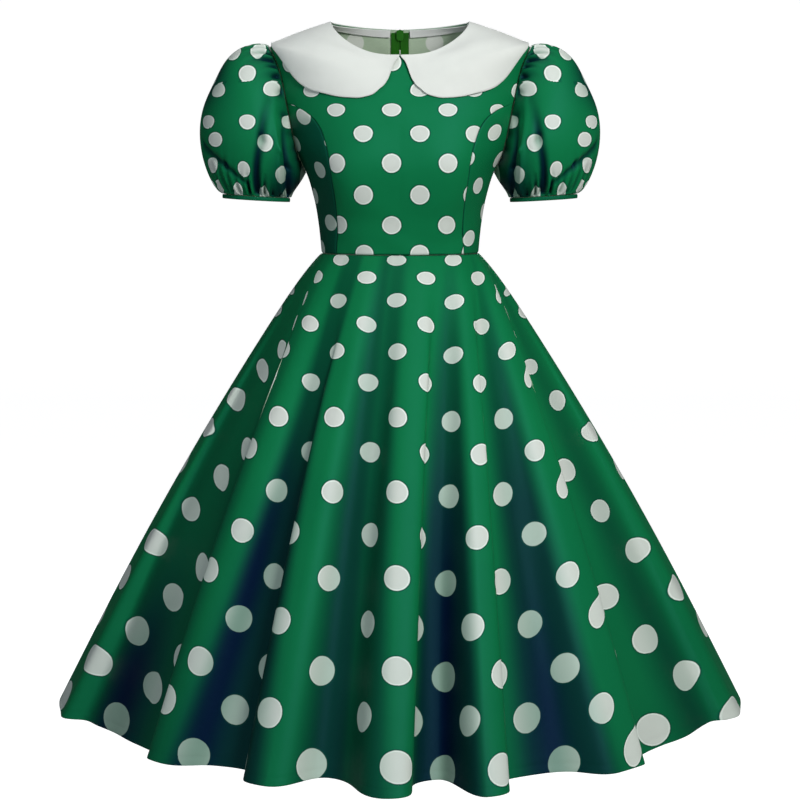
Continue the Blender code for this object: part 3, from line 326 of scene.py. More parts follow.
# Gathers crowd the columns at both ends, and narrow the dots there.
SleeveRow = namedtuple("SleeveRow", "rise column shift wide tall")
SLEEVE_ROWS = table(
    SleeveRow,
    (-0.1035, 0.0390, -0.0040, 0.56, 0.92),
    (-0.0735, 0.0575, 0.0050, 0.72, 0.80),
    (-0.0380, 0.0780, 0.0120, 0.90, 0.92),
    (-0.0073, 0.0700, -0.0010, 0.96, 1.00),
    (0.0476, 0.0860, 0.0060, 1.00, 1.12),
    (0.0758, 0.0800, 0.0000, 1.00, 1.22),
    (0.1160, 0.0380, 0.0050, 0.90, 1.25),
)
CUFF_PRINT = (0.5, 0.0, 0.1, 0.1, 0.012)       # a place between the dots: the narrow cuffs show none
SLEEVE_AXIS, SLEEVE_GIRTH_RADIUS, SLEEVE_MERIDIAN = (0.222, 0.0, -0.125), 0.078, 0.092

# ---------------------------------------------------------------- cut of the cloth
# What each piece is cut to: width and length of its pattern piece, and its own area where that
# isn't a rectangle. The skirt's panels are parts of a ring, from the waist to the hem. A name that
# ends in _ stands for a left and a right piece, and rests_on for pieces of the same side.
Cut = namedtuple("Cut", "name width length area held rests_on")
CUTS = table(
    Cut,
    ("skirt_front", 1.658, 0.862, 0.928, "hung", ("bodice_front",)),
    ("skirt_back_", 0.972, 0.802, 0.464, "hung", ("bodice_back_",)),
    ("bodice_front", 0.380, 0.360, 0.095, "hung", ()),
    ("bodice_side_", 0.130, 0.250, 0.0175, "hung", ()),
    ("bodice_back_", 0.230, 0.380, 0.064, "hung", ()),
    ("collar_", 0.300, 0.240, 0.0325, "laid", ("bodice_front", "bodice_back_")),
    ("neck_binding", 0.580, 0.0115, None, "laid", ("bodice_back_left", "bodice_back_right")),
    ("sleeve_", 0.600, 0.300, 0.120, "gathered", ("bodice_back_",)),
    ("zip_tape_", 0.0125, 0.520, None, "hung", ("bodice_back_",)),
)

# ---------------------------------------------------------------- colours, linear
SATIN_GREEN = (0.004, 0.172, 0.054, 1.0)
SATIN_DEEP = (0.002, 0.130, 0.044, 1.0)
# Painted shade: the satin's green is mixed towards these two where its folds are painted dark and blue.
SATIN_SHADOW = (0.001, 0.028, 0.020, 1.0)
SATIN_PAINTED_NAVY_SHADE = (0.000, 0.004, 0.022, 1.0)
PRINT_WHITE = (0.62, 0.66, 0.61, 1.0)
# Painted shade: the dots' white is mixed towards these two in the same painted dark and blue streaks.
PRINT_SHADE = (0.36, 0.48, 0.40, 1.0)
PRINT_PAINTED_DEEP_SHADE = (0.13, 0.24, 0.18, 1.0)
PRINT_RIM = (0.80, 0.88, 0.81, 1.0)
PRINT_HALO = (0.001, 0.050, 0.028, 1.0)
WRONG_SIDE = (0.52, 0.64, 0.48, 1.0)
WRONG_SIDE_DOT = (0.76, 0.80, 0.74, 1.0)
COLLAR_WHITE = (0.70, 0.73, 0.69, 1.0)
BINDING_GREY = (0.80, 0.82, 0.80, 1.0)
ZIP_GREEN = (0.014, 0.150, 0.003, 1.0)
ZIP_METAL = (0.012, 0.120, 0.004, 1.0)
THREAD_GREEN = (0.012, 0.140, 0.066, 1.0)
THREAD_WHITE = (0.70, 0.73, 0.70, 1.0)


# ---------------------------------------------------------------- curves and surfaces
def smooth_through(knots, values, at):
    """Smooth curve through values given at rising knots."""
    knots = np.asarray(knots, float)
    values = np.asarray(values, float)
    at = np.asarray(at, float)
    step = np.diff(knots)
    rise = np.diff(values) / step
    slope = np.empty_like(values)
    slope[0], slope[-1] = rise[0], rise[-1]
    slope[1:-1] = (rise[:-1] * step[1:] + rise[1:] * step[:-1]) / (step[:-1] + step[1:])
    i = np.clip(np.searchsorted(knots, at, side="right") - 1, 0, len(knots) - 2)
    u = (at - knots[i]) / step[i]
    return (
        (2 * u**3 - 3 * u**2 + 1) * values[i]
        + (u**3 - 2 * u**2 + u) * step[i] * slope[i]
        + (3 * u**2 - 2 * u**3) * values[i + 1]
        + (u**3 - u**2) * step[i] * slope[i + 1]
    )


def smoothstep(low, high, x):
    """0 below low, 1 above high, smooth in between."""
    t = np.clip((x - low) / (high - low), 0.0, 1.0)
    return t * t * (3.0 - 2.0 * t)


def superellipse_radius(angle, half_width, depth, power):
    """Distance from the axis to a rounded outline, in the direction of angle."""
    side = (np.abs(np.sin(angle)) / half_width) ** power
    ahead = (np.abs(np.cos(angle)) / depth) ** power
    return (side + ahead) ** (-1.0 / power)


def unit(vectors):
    """The same directions, each one metre long."""
    return vectors / np.maximum(np.linalg.norm(vectors, axis=-1, keepdims=True), 1e-12)


def surface_normal(surface, u, v):
    """Unit normal of surface(u, v), for a surface whose v runs up when u runs to +X."""
    step = 1e-4
    along_u = surface(u + step, v) - surface(u - step, v)
    along_v = surface(u, v + step) - surface(u, v - step)
    return unit(np.cross(along_u, along_v))


def grid_normals(points, closed_round=False, flip=False):
    """Unit normals of a grid of points, from its own rows and columns."""
    if closed_round:
        wrapped = np.concatenate([points[:, -1:], points, points[:, :1]], axis=1)
        along_u = np.gradient(wrapped, axis=1)[:, 1:-1]
    else:
        along_u = np.gradient(points, axis=1)
    along_v = np.gradient(points, axis=0)
    normal = unit(np.cross(along_u, along_v))
    return -normal if flip else normal


def bodice_surface(angle, level):
    """Outside of the bodice."""
    angle, level = np.broadcast_arrays(np.asarray(angle, float), np.asarray(level, float))
    levels = column_of(BODICE_RINGS, "level")
    ring = {
        name: smooth_through(levels, column_of(BODICE_RINGS, name), level) for name in Ring._fields[1:]
    }
    front = np.cos(angle) >= 0.0
    depth = np.where(front, ring["depth_front"], ring["depth_back"])
    z_middle = np.where(front, ring["z_front"], ring["z_back"])
    radius = superellipse_radius(angle, ring["half_width"], depth, BODICE_SQUARENESS)
    from_front = np.degrees(np.arctan2(np.abs(np.sin(angle)), np.cos(angle)))
    cup = ((from_front - CUP_ANGLE) / CUP_ANGLE_SPREAD) ** 2
    cup = cup + ((level - CUP_LEVEL) / CUP_LEVEL_SPREAD) ** 2
    radius = radius + CUP_HEIGHT * np.exp(-cup)
    ahead = np.abs(np.cos(angle))
    climb = ahead**SHOULDER_POWER
    scooped = 1.0 - (1.0 - ahead ** NECK_POWERS[0]) ** NECK_POWERS[1]
    climb = climb + (scooped - climb) * front * smoothstep(NECK_SCOOP_FROM, NECKLINE, level)
    height = ring["z_side"] + (z_middle - ring["z_side"]) * climb
    return np.stack([radius * np.sin(angle), -radius * np.cos(angle), height], -1)


def flare(start, end, share):
    """Half size of the skirt at a share of its drop: quick at the waist, then bowed."""
    yoke = YOKE_FLARE * (1.0 - np.exp(-share / YOKE_FADE))
    return start + (end - start - YOKE_FLARE) * share + yoke + SKIRT_BELLY * np.sin(np.pi * share)


def skirt_base_radius(angle, share):
    """Plan radius of the skirt without folds."""
    waist_depth = np.where(np.cos(angle) >= 0.0, WAIST_DEPTH_FRONT, WAIST_DEPTH_BACK)
    half_width = flare(WAIST_HALF_WIDTH, HEM_HALF_WIDTH, share)
    depth = flare(waist_depth, HEM_DEPTH, share)
    power = BODICE_SQUARENESS + (HEM_SQUARENESS - BODICE_SQUARENESS) * np.sqrt(share)
    return superellipse_radius(angle, half_width, depth, power)


def fold_line_angles(waist_angles, hem_angles, share):
    """Angles at one height of lines that run straight from the waist to the hem."""
    share = max(share, 1e-9)
    waist_radius = skirt_base_radius(waist_angles, 0.0)
    hem_radius = skirt_base_radius(hem_angles, 1.0)
    spread = flare(WAIST_DEPTH_FRONT, HEM_DEPTH, share)
    weight = (spread - WAIST_DEPTH_FRONT) / (HEM_DEPTH - WAIST_DEPTH_FRONT)
    turn = hem_angles - waist_angles
    across = (1 - weight) * waist_radius + weight * hem_radius * np.cos(turn)
    aside = weight * hem_radius * np.sin(turn)
    return waist_angles + np.arctan2(aside, across)


FOLD_WAIST = np.radians(column_of(SKIRT_FOLDS, "waist_deg"))
FOLD_HEM = np.radians(column_of(SKIRT_FOLDS, "hem_deg"))
FOLD_OFFSET = column_of(SKIRT_FOLDS, "hem_radius") - skirt_base_radius(FOLD_HEM, 1.0)
FOLD_STEEP, FOLD_PUSH = column_of(SKIRT_FOLDS, "steep"), column_of(SKIRT_FOLDS, "push")


def skirt_row(angle, share):
    """Points of the skirt's outside at one height."""
    lines = fold_line_angles(FOLD_WAIST, FOLD_HEM, share)
    wrapped = (angle - lines[0]) % (2 * np.pi) + lines[0]
    i = np.clip(np.searchsorted(lines, wrapped, side="right") - 1, 0, len(lines) - 2)
    phase = (wrapped - lines[i]) / (lines[i + 1] - lines[i])
    blend = (1.0 - np.cos(np.pi * phase)) / 2.0

    def between(values):
        return values[i] * (1 - blend) + values[i + 1] * blend

    radius = skirt_base_radius(angle, share) + between(FOLD_OFFSET) * share**FOLD_GROWTH
    for ripple in SKIRT_RIPPLES:
        radius = radius + ripple.height * share**RIPPLE_GROWTH * np.sin(ripple.count * angle + ripple.phase)
    height = np.full(angle.shape, WAIST_Z - SKIRT_DROP * share)
    points = np.stack([radius * np.sin(angle), -radius * np.cos(angle), height], -1)
    shape = FOLD_STEEP[i] * np.sin(2 * np.pi * phase) + FOLD_PUSH[i] * np.sin(np.pi * phase)
    aside = shape * (lines[i + 1] - lines[i]) * radius * smoothstep(STEEP_FROM, STEEP_FULL, share)
    points[:, 0] += aside * np.cos(angle)
    points[:, 1] += aside * np.sin(angle)
    return points


def armhole_angle(level, towards_front):
    """Angle of the armhole edge at a level."""
    across = np.clip((ARMHOLE_LEVEL - level) * 2.0, -1.0, 1.0)
    reach = np.sqrt(1.0 - across**2)
    half_degrees = ARMHOLE_FRONT_DEG if towards_front else ARMHOLE_BACK_DEG
    turn = math.radians(half_degrees) * reach
    return SIDE - turn if towards_front else SIDE + turn


def armhole_loop(round_arm, shrink):
    """Point of the armhole, drawn in by shrink metres; 0 is on the shoulder and 90 in front."""
    level = ARMHOLE_LEVEL + (0.5 - shrink / ARMHOLE_DROP) * np.cos(round_arm)
    half = np.where(np.sin(round_arm) >= 0.0, ARMHOLE_FRONT_DEG, ARMHOLE_BACK_DEG)
    turn = (np.radians(half) - shrink / ARMHOLE_RADIUS) * np.sin(round_arm)
    return bodice_surface(SIDE - turn, level)


def cuff_loop(round_arm, lift):
    """Point of the cuff's outline, lift metres above its middle."""
    across = CUFF_HALF_WIDTH * np.cos(round_arm)
    return np.stack(
        [
            CUFF_CENTRE[0] + across,
            CUFF_CENTRE[1] - CUFF_HALF_DEPTH * np.sin(round_arm),
            CUFF_CENTRE[2] + CUFF_TILT * across + lift,
        ],
        -1,
    )


def four_way_blend(values, angle):
    """Smooth round blend of values given at 0, 90, 180 and 270 degrees."""
    top, front, under, back = values
    angle = angle[..., None]
    return (
        (top + front + under + back) / 4.0
        + (top - under) / 2.0 * np.cos(angle)
        + (front - back) / 2.0 * np.sin(angle)
        + (top - front + under - back) / 4.0 * np.cos(2.0 * angle)
    )


def sleeve_base(round_arm, share):
    """Smooth puff of the sleeve, for share 0 at the armhole to 1 at the cuff."""
    start = armhole_loop(round_arm, SEAM_GAP)
    end = cuff_loop(round_arm, CUFF_HEIGHT / 2 + SEAM_GAP)
    near_start = start + four_way_blend(column_of(SLEEVE_REACH, "from_armhole"), round_arm)
    near_end = end + four_way_blend(column_of(SLEEVE_REACH, "from_cuff"), round_arm)
    t = share[..., None]
    return (
        (1 - t) ** 3 * start
        + 3 * (1 - t) ** 2 * t * near_start
        + 3 * (1 - t) * t**2 * near_end
        + t**3 * end
    )


def sleeve_relief(round_arm, share):
    """How far creases and gathers move a sleeve's cloth out, in metres; gathers are uneven."""
    run = share / CAP_GATHER_REACH
    cap_fade = run * np.exp(1.0 - run) * (0.35 + 0.65 * np.cos(round_arm / 2) ** 2)
    cap = np.sin(CAP_GATHERS * round_arm + 1.7 * np.sin(2 * round_arm + 0.4))
    run = (1.0 - share) / CUFF_GATHER_REACH
    cuff_fade = run * np.exp(1.0 - run)
    cuff = np.sin(CUFF_GATHERS * round_arm + 2.2 * np.sin(3 * round_arm + 1.1))
    cuff = cuff * (0.7 + 0.3 * np.sin(7 * round_arm + 2.0))
    relief = CAP_GATHER_DEPTH * cap_fade * cap + CUFF_GATHER_DEPTH * cuff_fade * cuff
    degrees = np.degrees(round_arm) % 360.0
    middle, spread, spread_degrees, depth = SLEEVE_FLAT
    from_top = (degrees + 180.0) % 360.0 - 180.0
    flat = ((share - middle) / spread) ** 2 + (from_top / spread_degrees) ** 2
    relief = relief - depth * np.exp(-flat)
    for crease in SLEEVE_CREASES:
        x = (degrees - crease.start_deg + 180.0) % 360.0 - 180.0
        x = x * METRES_PER_DEGREE
        y = (share - crease.start) * METRES_PER_SHARE
        run_x = (crease.end_deg - crease.start_deg) * METRES_PER_DEGREE
        run_y = (crease.end - crease.start) * METRES_PER_SHARE
        t = np.clip((x * run_x + y * run_y) / (run_x**2 + run_y**2), 0.0, 1.0)
        away = np.hypot(x - t * run_x, y - t * run_y)
        depth = crease.depth + (crease.depth_end - crease.depth) * smoothstep(0.0, 1.0, t)
        relief = relief - depth * np.exp(-((away / crease.width) ** 2))
    return relief * smoothstep(0.0, CREASE_END, share) * smoothstep(1.0, 1.0 - CREASE_END, share)


# ---------------------------------------------------------------- meshes
def distances(points, axis):
    """Length of cloth along an axis of a grid, from its first row or column."""
    steps = np.linalg.norm(np.diff(points, axis=axis), axis=-1)
    first = np.zeros_like(np.take(steps, [0], axis=axis))
    return np.concatenate([first, np.cumsum(steps, axis=axis)], axis=axis)


SEWN_SIDES = ("first_row", "first_column", "last_column")       # all but a panel's free edge
# Painted shade: cloth at the bottom of a seam is painted this dark.
SEAM_SHADE = 0.9              # how dark the bottom of a seam is


def roll_into_seams(points, normals, sides):
    """Cloth near the named sides of a grid, rolled down into their seams, and the shade painted at their
    bottom.
    """
    across, along = distances(points, 1), distances(points, 0)
    away = {
        "first_column": across,
        "last_column": across[:, -1:] - across,
        "first_row": along,
        "last_row": along[-1:] - along,
    }
    dip = np.zeros(points.shape[:2])
    for side in sides:
        dip = np.maximum(dip, np.clip(1.0 - away[side] / SEAM_ROLL, 0.0, 1.0) ** 2)
    return points - SEAM_DIP * dip[..., None] * normals, SEAM_SHADE * dip


def set_vectors(mesh, name, vectors):
    """Store a vector for each point of a mesh."""
    attribute = mesh.attributes.new(name, "FLOAT_VECTOR", "POINT")
    attribute.data.foreach_set("vector", np.asarray(vectors, np.float32).ravel())


SHARP_ANGLE = math.radians(55.0)


def shell(name, outer, inner, materials, vectors, closed_round):
    """Closed thin shell between two grids, with one material outside and one inside."""
    rows, columns = outer.shape[:2]
    index = np.arange(rows * columns).reshape(rows, columns)
    if closed_round:
        index = np.concatenate([index, index[:, :1]], axis=1)
    a, b, c, d = index[:-1, :-1], index[:-1, 1:], index[1:, 1:], index[1:, :-1]
    front = np.stack([a, b, c, d], -1).reshape(-1, 4)
    back = front[:, ::-1] + rows * columns
    rims = []
    for edge, flip in ((index[0], True), (index[-1], False)):
        rims.append(rim_faces(edge, rows * columns, flip))
    if not closed_round:
        for edge, flip in ((index[:, 0], False), (index[:, -1], True)):
            rims.append(rim_faces(edge, rows * columns, flip))
    rim = np.concatenate(rims)
    points = np.concatenate([outer.reshape(-1, 3), inner.reshape(-1, 3)])
    middle = len(front) // 2
    corners = points[front[middle]]
    facing = np.cross(corners[1] - corners[0], corners[2] - corners[0])
    out = points[front[middle][0]] - points[front[middle][0] + rows * columns]
    faces = np.concatenate([front, back, rim])
    if facing @ out < 0.0:
        faces = faces[:, ::-1]
    mesh = bpy.data.meshes.new(name)
    mesh.from_pydata(points.tolist(), [], faces.tolist())
    for material in materials:
        mesh.materials.append(material)
    kinds = np.zeros(len(faces), np.int32)
    if len(materials) > 1:
        kinds[len(front):len(front) + len(back)] = 1
    mesh.polygons.foreach_set("material_index", kinds)
    for key, values in vectors.items():
        flat = np.asarray(values, float).reshape(-1, 3)
        set_vectors(mesh, key, np.concatenate([flat, flat]))
    mesh.validate()
    mesh.shade_smooth()
    mesh.set_sharp_from_angle(angle=SHARP_ANGLE)
    return add(name, mesh)


def rim_faces(edge, offset, flip):
    """Faces that join the edge of the outer grid to the same edge of the inner one."""
    quads = np.stack([edge[:-1], edge[1:], edge[1:] + offset, edge[:-1] + offset], -1)
    return quads[:, ::-1] if flip else quads


def mirrored(points):
    """The same points on the wearer's other side."""
    return points * np.array([-1.0, 1.0, 1.0])


def both_sides(name):
    """Node names of a pair, each with what turns the left one's points into its own."""
    return (name + "_left", lambda points: points), (name + "_right", mirrored)


def add(name, data):
    """New object in the scene."""
    made = bpy.data.objects.new(name, data)
    bpy.context.scene.collection.objects.link(made)
    return made


def cloth_piece(node, outer, inner, materials, vectors, closed_round=False):
    """Shell that stands for its node and rides on the dress."""
    piece = shell(node + "_cloth", outer, inner, materials, vectors, closed_round)
    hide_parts(node)
    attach(piece, "dress")
    return piece


# ---------------------------------------------------------------- shader helpers
class Graph:
    """Short names for making shader nodes."""

    def __init__(self, name):
        self.material = bpy.data.materials.new(name)
        self.material.use_nodes = True
        self.tree = self.material.node_tree
        self.shader = self.tree.nodes["Principled BSDF"]

    def node(self, kind, **settings):
        made = self.tree.nodes.new(kind)
        for key, value in settings.items():
            setattr(made, key, value)
        return made

    def feed(self, socket, value):
        if isinstance(value, bpy.types.NodeSocket):
            self.tree.links.new(value, socket)
        else:
            socket.default_value = value

    def math(self, operation, *values):
        made = self.node("ShaderNodeMath", operation=operation)
        for socket, value in zip(made.inputs, values):
            self.feed(socket, value)
        return made.outputs[0]

    def times(self, first, second):
        return self.math("MULTIPLY", first, second)

    def mix(self, factor, first, second):
        made = self.node("ShaderNodeMix", data_type="RGBA")
        self.feed(made.inputs["Factor"], factor)
        self.feed(made.inputs["A"], first)
        self.feed(made.inputs["B"], second)
        return made.outputs["Result"]

    def ramp(self, value, low, high, start=0.0, end=1.0):
        made = self.node("ShaderNodeMapRange", interpolation_type="SMOOTHSTEP")
        for key, number in (("From Min", low), ("From Max", high), ("To Min", start), ("To Max", end)):
            made.inputs[key].default_value = number
        self.feed(made.inputs["Value"], value)
        return made.outputs["Result"]

    def attribute(self, name):
        made = self.node("ShaderNodeAttribute", attribute_name=name)
        split = self.node("ShaderNodeSeparateXYZ")
        self.feed(split.inputs[0], made.outputs["Vector"])
        return made.outputs["Vector"], split.outputs

    def noise(self, scale, detail=3.0, vector=None, stretch=None):
        made = self.node("ShaderNodeTexNoise")
        made.inputs["Scale"].default_value = scale
        made.inputs["Detail"].default_value = detail
        if vector is None:
            vector = self.node("ShaderNodeTexCoord").outputs["Object"]
        if stretch is not None:
            mapping = self.node("ShaderNodeMapping")
            mapping.inputs["Scale"].default_value = stretch
            self.feed(mapping.inputs["Vector"], vector)
            vector = mapping.outputs["Vector"]
        self.feed(made.inputs["Vector"], vector)
        return made.outputs["Fac"]

    def bump(self, height, distance, strength=1.0, normal=None):
        made = self.node("ShaderNodeBump")
        made.inputs["Strength"].default_value = strength
        made.inputs["Distance"].default_value = distance
        self.feed(made.inputs["Height"], height)
        if normal is not None:
            self.feed(made.inputs["Normal"], normal)
        return made.outputs["Normal"]

    def finish(self, colour, roughness, normal=None, **fixed):
        self.feed(self.shader.inputs["Base Color"], colour)
        self.feed(self.shader.inputs["Roughness"], roughness)
        if normal is not None:
            self.feed(self.shader.inputs["Normal"], normal)
        for key, value in fixed.items():
            self.shader.inputs[key.replace("_", " ")].default_value = value
        return self.material


DOT_WOBBLES, DOT_WOBBLE = 160.0, 0.0006       # how many a metre, and how far a dot's edge strays
DOT_SOFT, DOT_SOFT_INSIDE = 0.0004, 0.0012    # half width of its edge, on the right and wrong side
HALO_FROM, HALO_TO, HALO = 0.0006, 0.0030, 0.75           # dark surround: metres outside the edge, strength
RIM_FROM, RIM_TO, RIM = -0.0026, -0.0012, 0.8             # pale rim, the same way, inside the edge
SATIN_THREAD, WEFT_FLOAT = 0.00045, 2.3


def dot_distance(graph):
    """Distance from the edge of the nearest printed dot, in metres, negative inside."""
    _, (column, row, _) = graph.attribute("print")
    _, (across, along, radius) = graph.attribute("dot")
    nearest = []
    for shift in (0.0, 1.0):
        own_column = graph.math("SUBTRACT", column, shift / 2)
        own_row = graph.math("SUBTRACT", row, shift)
        aside = graph.math("SUBTRACT", own_column, graph.math("ROUND", own_column))
        pair = graph.times(graph.math("ROUND", graph.math("DIVIDE", own_row, 2.0)), 2.0)
        above = graph.math("SUBTRACT", own_row, pair)
        x = graph.math("DIVIDE", aside, across)
        y = graph.math("DIVIDE", above, along)
        square = graph.math("ADD", graph.times(x, x), graph.times(y, y))
        nearest.append(graph.math("SQRT", square))
    share = graph.math("MINIMUM", *nearest)
    edge = graph.times(graph.math("SUBTRACT", share, 1.0), radius)
    wobble = graph.math("SUBTRACT", graph.noise(DOT_WOBBLES, 2.0), 0.5)
    return graph.math("ADD", edge, graph.times(wobble, DOT_WOBBLE))


def weave(graph, thread=SATIN_THREAD):
    """Height of the satin's fine threads: long floats across, broken by slubs."""
    vector, (across, along, _) = graph.attribute("cloth")
    warp = graph.math("SINE", graph.times(across, 2 * math.pi / thread))
    weft = graph.math("SINE", graph.times(along, 2 * math.pi / (WEFT_FLOAT * thread)))
    slub = graph.noise(1.0, 2.0, vector, (260.0, 1400.0, 1.0))
    height = graph.math("ADD", graph.times(warp, 0.35), graph.times(weft, 0.15))
    return graph.math("ADD", height, graph.times(slub, 0.8)), slub


def dress_satin():
    """Green satin with its printed dots, as the right side of the cloth shows it, with the shade painted by
    the fold attribute: darker, bluer green and greyer dots.
    """
    graph = Graph("dress_satin_face")
    edge = dot_distance(graph)
    _, (depth, blue, _) = graph.attribute("fold")
    height, slub = weave(graph)
    cloud = graph.noise(7.0, 4.0)
    green = graph.mix(graph.ramp(cloud, 0.30, 0.70), SATIN_GREEN, SATIN_DEEP)
    green = graph.mix(graph.times(cloud, 0.45), SATIN_GREEN, green)
    green = graph.mix(graph.times(slub, 0.10), green, SATIN_DEEP)
    # Painted shade: the fold attribute's darkness and blueness mix the green towards its shade colours.
    green = graph.mix(depth, green, SATIN_SHADOW)
    green = graph.mix(blue, green, SATIN_PAINTED_NAVY_SHADE)
    halo = graph.ramp(edge, HALO_FROM, HALO_TO, HALO, 0.0)
    halo = graph.times(halo, graph.math("SUBTRACT", 1.0, blue))
    green = graph.mix(halo, green, PRINT_HALO)
    rim = graph.ramp(edge, RIM_FROM, RIM_TO, 0.0, RIM)
    rim = graph.times(rim, graph.ramp(depth, 0.0, 1.0, 1.0, 0.35))
    white = graph.mix(rim, PRINT_WHITE, PRINT_RIM)
    # Painted shade on the dots as well; their pale rim fades where the shade is painted dark.
    white = graph.mix(graph.times(depth, 0.85), white, PRINT_SHADE)
    white = graph.mix(graph.times(blue, 0.8), white, PRINT_PAINTED_DEEP_SHADE)
    colour = graph.mix(graph.ramp(edge, -DOT_SOFT, DOT_SOFT), white, green)
    roughness = graph.ramp(slub, 0.2, 0.8, 0.46, 0.58)
    soft = graph.bump(graph.noise(38.0, 3.0), 0.0012, 0.25)
    normal = graph.bump(height, 0.00008, 0.5, soft)
    return graph.finish(
        colour, roughness, normal,
        Specular_IOR_Level=0.16, Specular_Tint=(0.20, 0.60, 1.0, 1.0),
    )


def wrong_side():
    """Inside of the dress cloth: pale, with the dots showing faintly through."""
    graph = Graph("dress_satin_wrong_side")
    edge = dot_distance(graph)
    height, slub = weave(graph)
    base = graph.mix(graph.times(slub, 0.25), WRONG_SIDE, SATIN_DEEP)
    colour = graph.mix(graph.ramp(edge, -DOT_SOFT_INSIDE, DOT_SOFT_INSIDE), WRONG_SIDE_DOT, base)
    normal = graph.bump(height, 0.00012, 0.5)
    return graph.finish(colour, graph.ramp(slub, 0.2, 0.8, 0.62, 0.75), normal, Specular_IOR_Level=0.2)


def plain_cloth(name, colour, thread, sheen, roughness=0.5, shade=0.90):
    """Woven cloth of one colour, with slubs and faint clouding."""
    graph = Graph(name)
    height, slub = weave(graph, thread)
    darker = tuple(channel * shade for channel in colour[:3]) + (1.0,)
    tone = graph.mix(graph.ramp(graph.noise(18.0, 3.0), 0.35, 0.65), colour, darker)
    tone = graph.mix(graph.times(slub, 0.3), tone, darker)
    normal = graph.bump(height, 0.0001, 0.5, graph.bump(graph.noise(55.0, 3.0), 0.0008, 0.2))
    rough = graph.ramp(slub, 0.2, 0.8, roughness - 0.05, roughness + 0.08)
    return graph.finish(tone, rough, normal, Sheen_Weight=sheen, Sheen_Roughness=0.5,
                        Specular_IOR_Level=0.3)


def enamel(name, colour):
    """Painted metal of the zip, worn a little paler along its edges."""
    graph = Graph(name)
    worn = tuple(min(channel * 2.2 + 0.02, 1.0) for channel in colour[:3]) + (1.0,)
    wear = graph.node("ShaderNodeNewGeometry").outputs["Pointiness"]
    tone = graph.mix(graph.ramp(wear, 0.51, 0.60, 0.0, 0.6), colour, worn)
    speck = graph.noise(900.0, 3.0)
    tone = graph.mix(graph.times(speck, 0.25), tone, worn)
    normal = graph.bump(speck, 0.00004, 0.4)
    return graph.finish(tone, graph.ramp(speck, 0.3, 0.7, 0.28, 0.42), normal, Metallic=0.35,
                        Coat_Weight=0.2)


def thread_material(name, colour):
    """Twisted sewing thread."""
    graph = Graph(name)
    twist = graph.noise(2400.0, 2.0)
    darker = tuple(channel * 0.6 for channel in colour[:3]) + (1.0,)
    tone = graph.mix(twist, colour, darker)
    return graph.finish(tone, graph.ramp(twist, 0.3, 0.7, 0.45, 0.6),
                        graph.bump(twist, 0.0001, 0.6), Sheen_Weight=0.3)


SATIN = dress_satin()
INSIDE = wrong_side()
COLLAR_CLOTH = plain_cloth("collar_satin", COLLAR_WHITE, SATIN_THREAD, 0.2, 0.48, 0.94)
BINDING_CLOTH = plain_cloth("binding_cotton", BINDING_GREY, 0.0006, 0.1, 0.7)
TAPE_CLOTH = plain_cloth("zip_tape_twill", ZIP_GREEN, 0.0008, 0.0, 0.7, 0.6)
ENAMEL = enamel("zip_enamel", ZIP_METAL)
COIL = enamel("zip_coil_nylon", ZIP_GREEN)
GREEN_THREAD = thread_material("green_thread", THREAD_GREEN)
WHITE_THREAD = thread_material("white_thread", THREAD_WHITE)


# ---------------------------------------------------------------- skirt
def print_vectors(column, row, across, along, radius):
    """Print attributes of a piece, from arrays or plain numbers of one grid."""
    column, row, across, along, radius = np.broadcast_arrays(column, row, across, along, radius)
    nothing = np.zeros_like(column)
    return {
        "print": np.stack([column, row, nothing], -1),
        "dot": np.stack([across, along, radius], -1),
    }


def cloth_vectors(points, depth=0.0, blue=0.0):
    """Cloth coordinates in metres, and the painted shade of each point: how dark and how blue it is painted.
    """
    across, along = distances(points, 1), distances(points, 0)
    nothing = np.zeros_like(across)
    return {
        "cloth": np.stack([across, along, nothing], -1),
        # The fold attribute holds painted shade: darkness first, then blueness.
        "fold": np.stack([depth + nothing, blue + nothing, nothing], -1),
    }


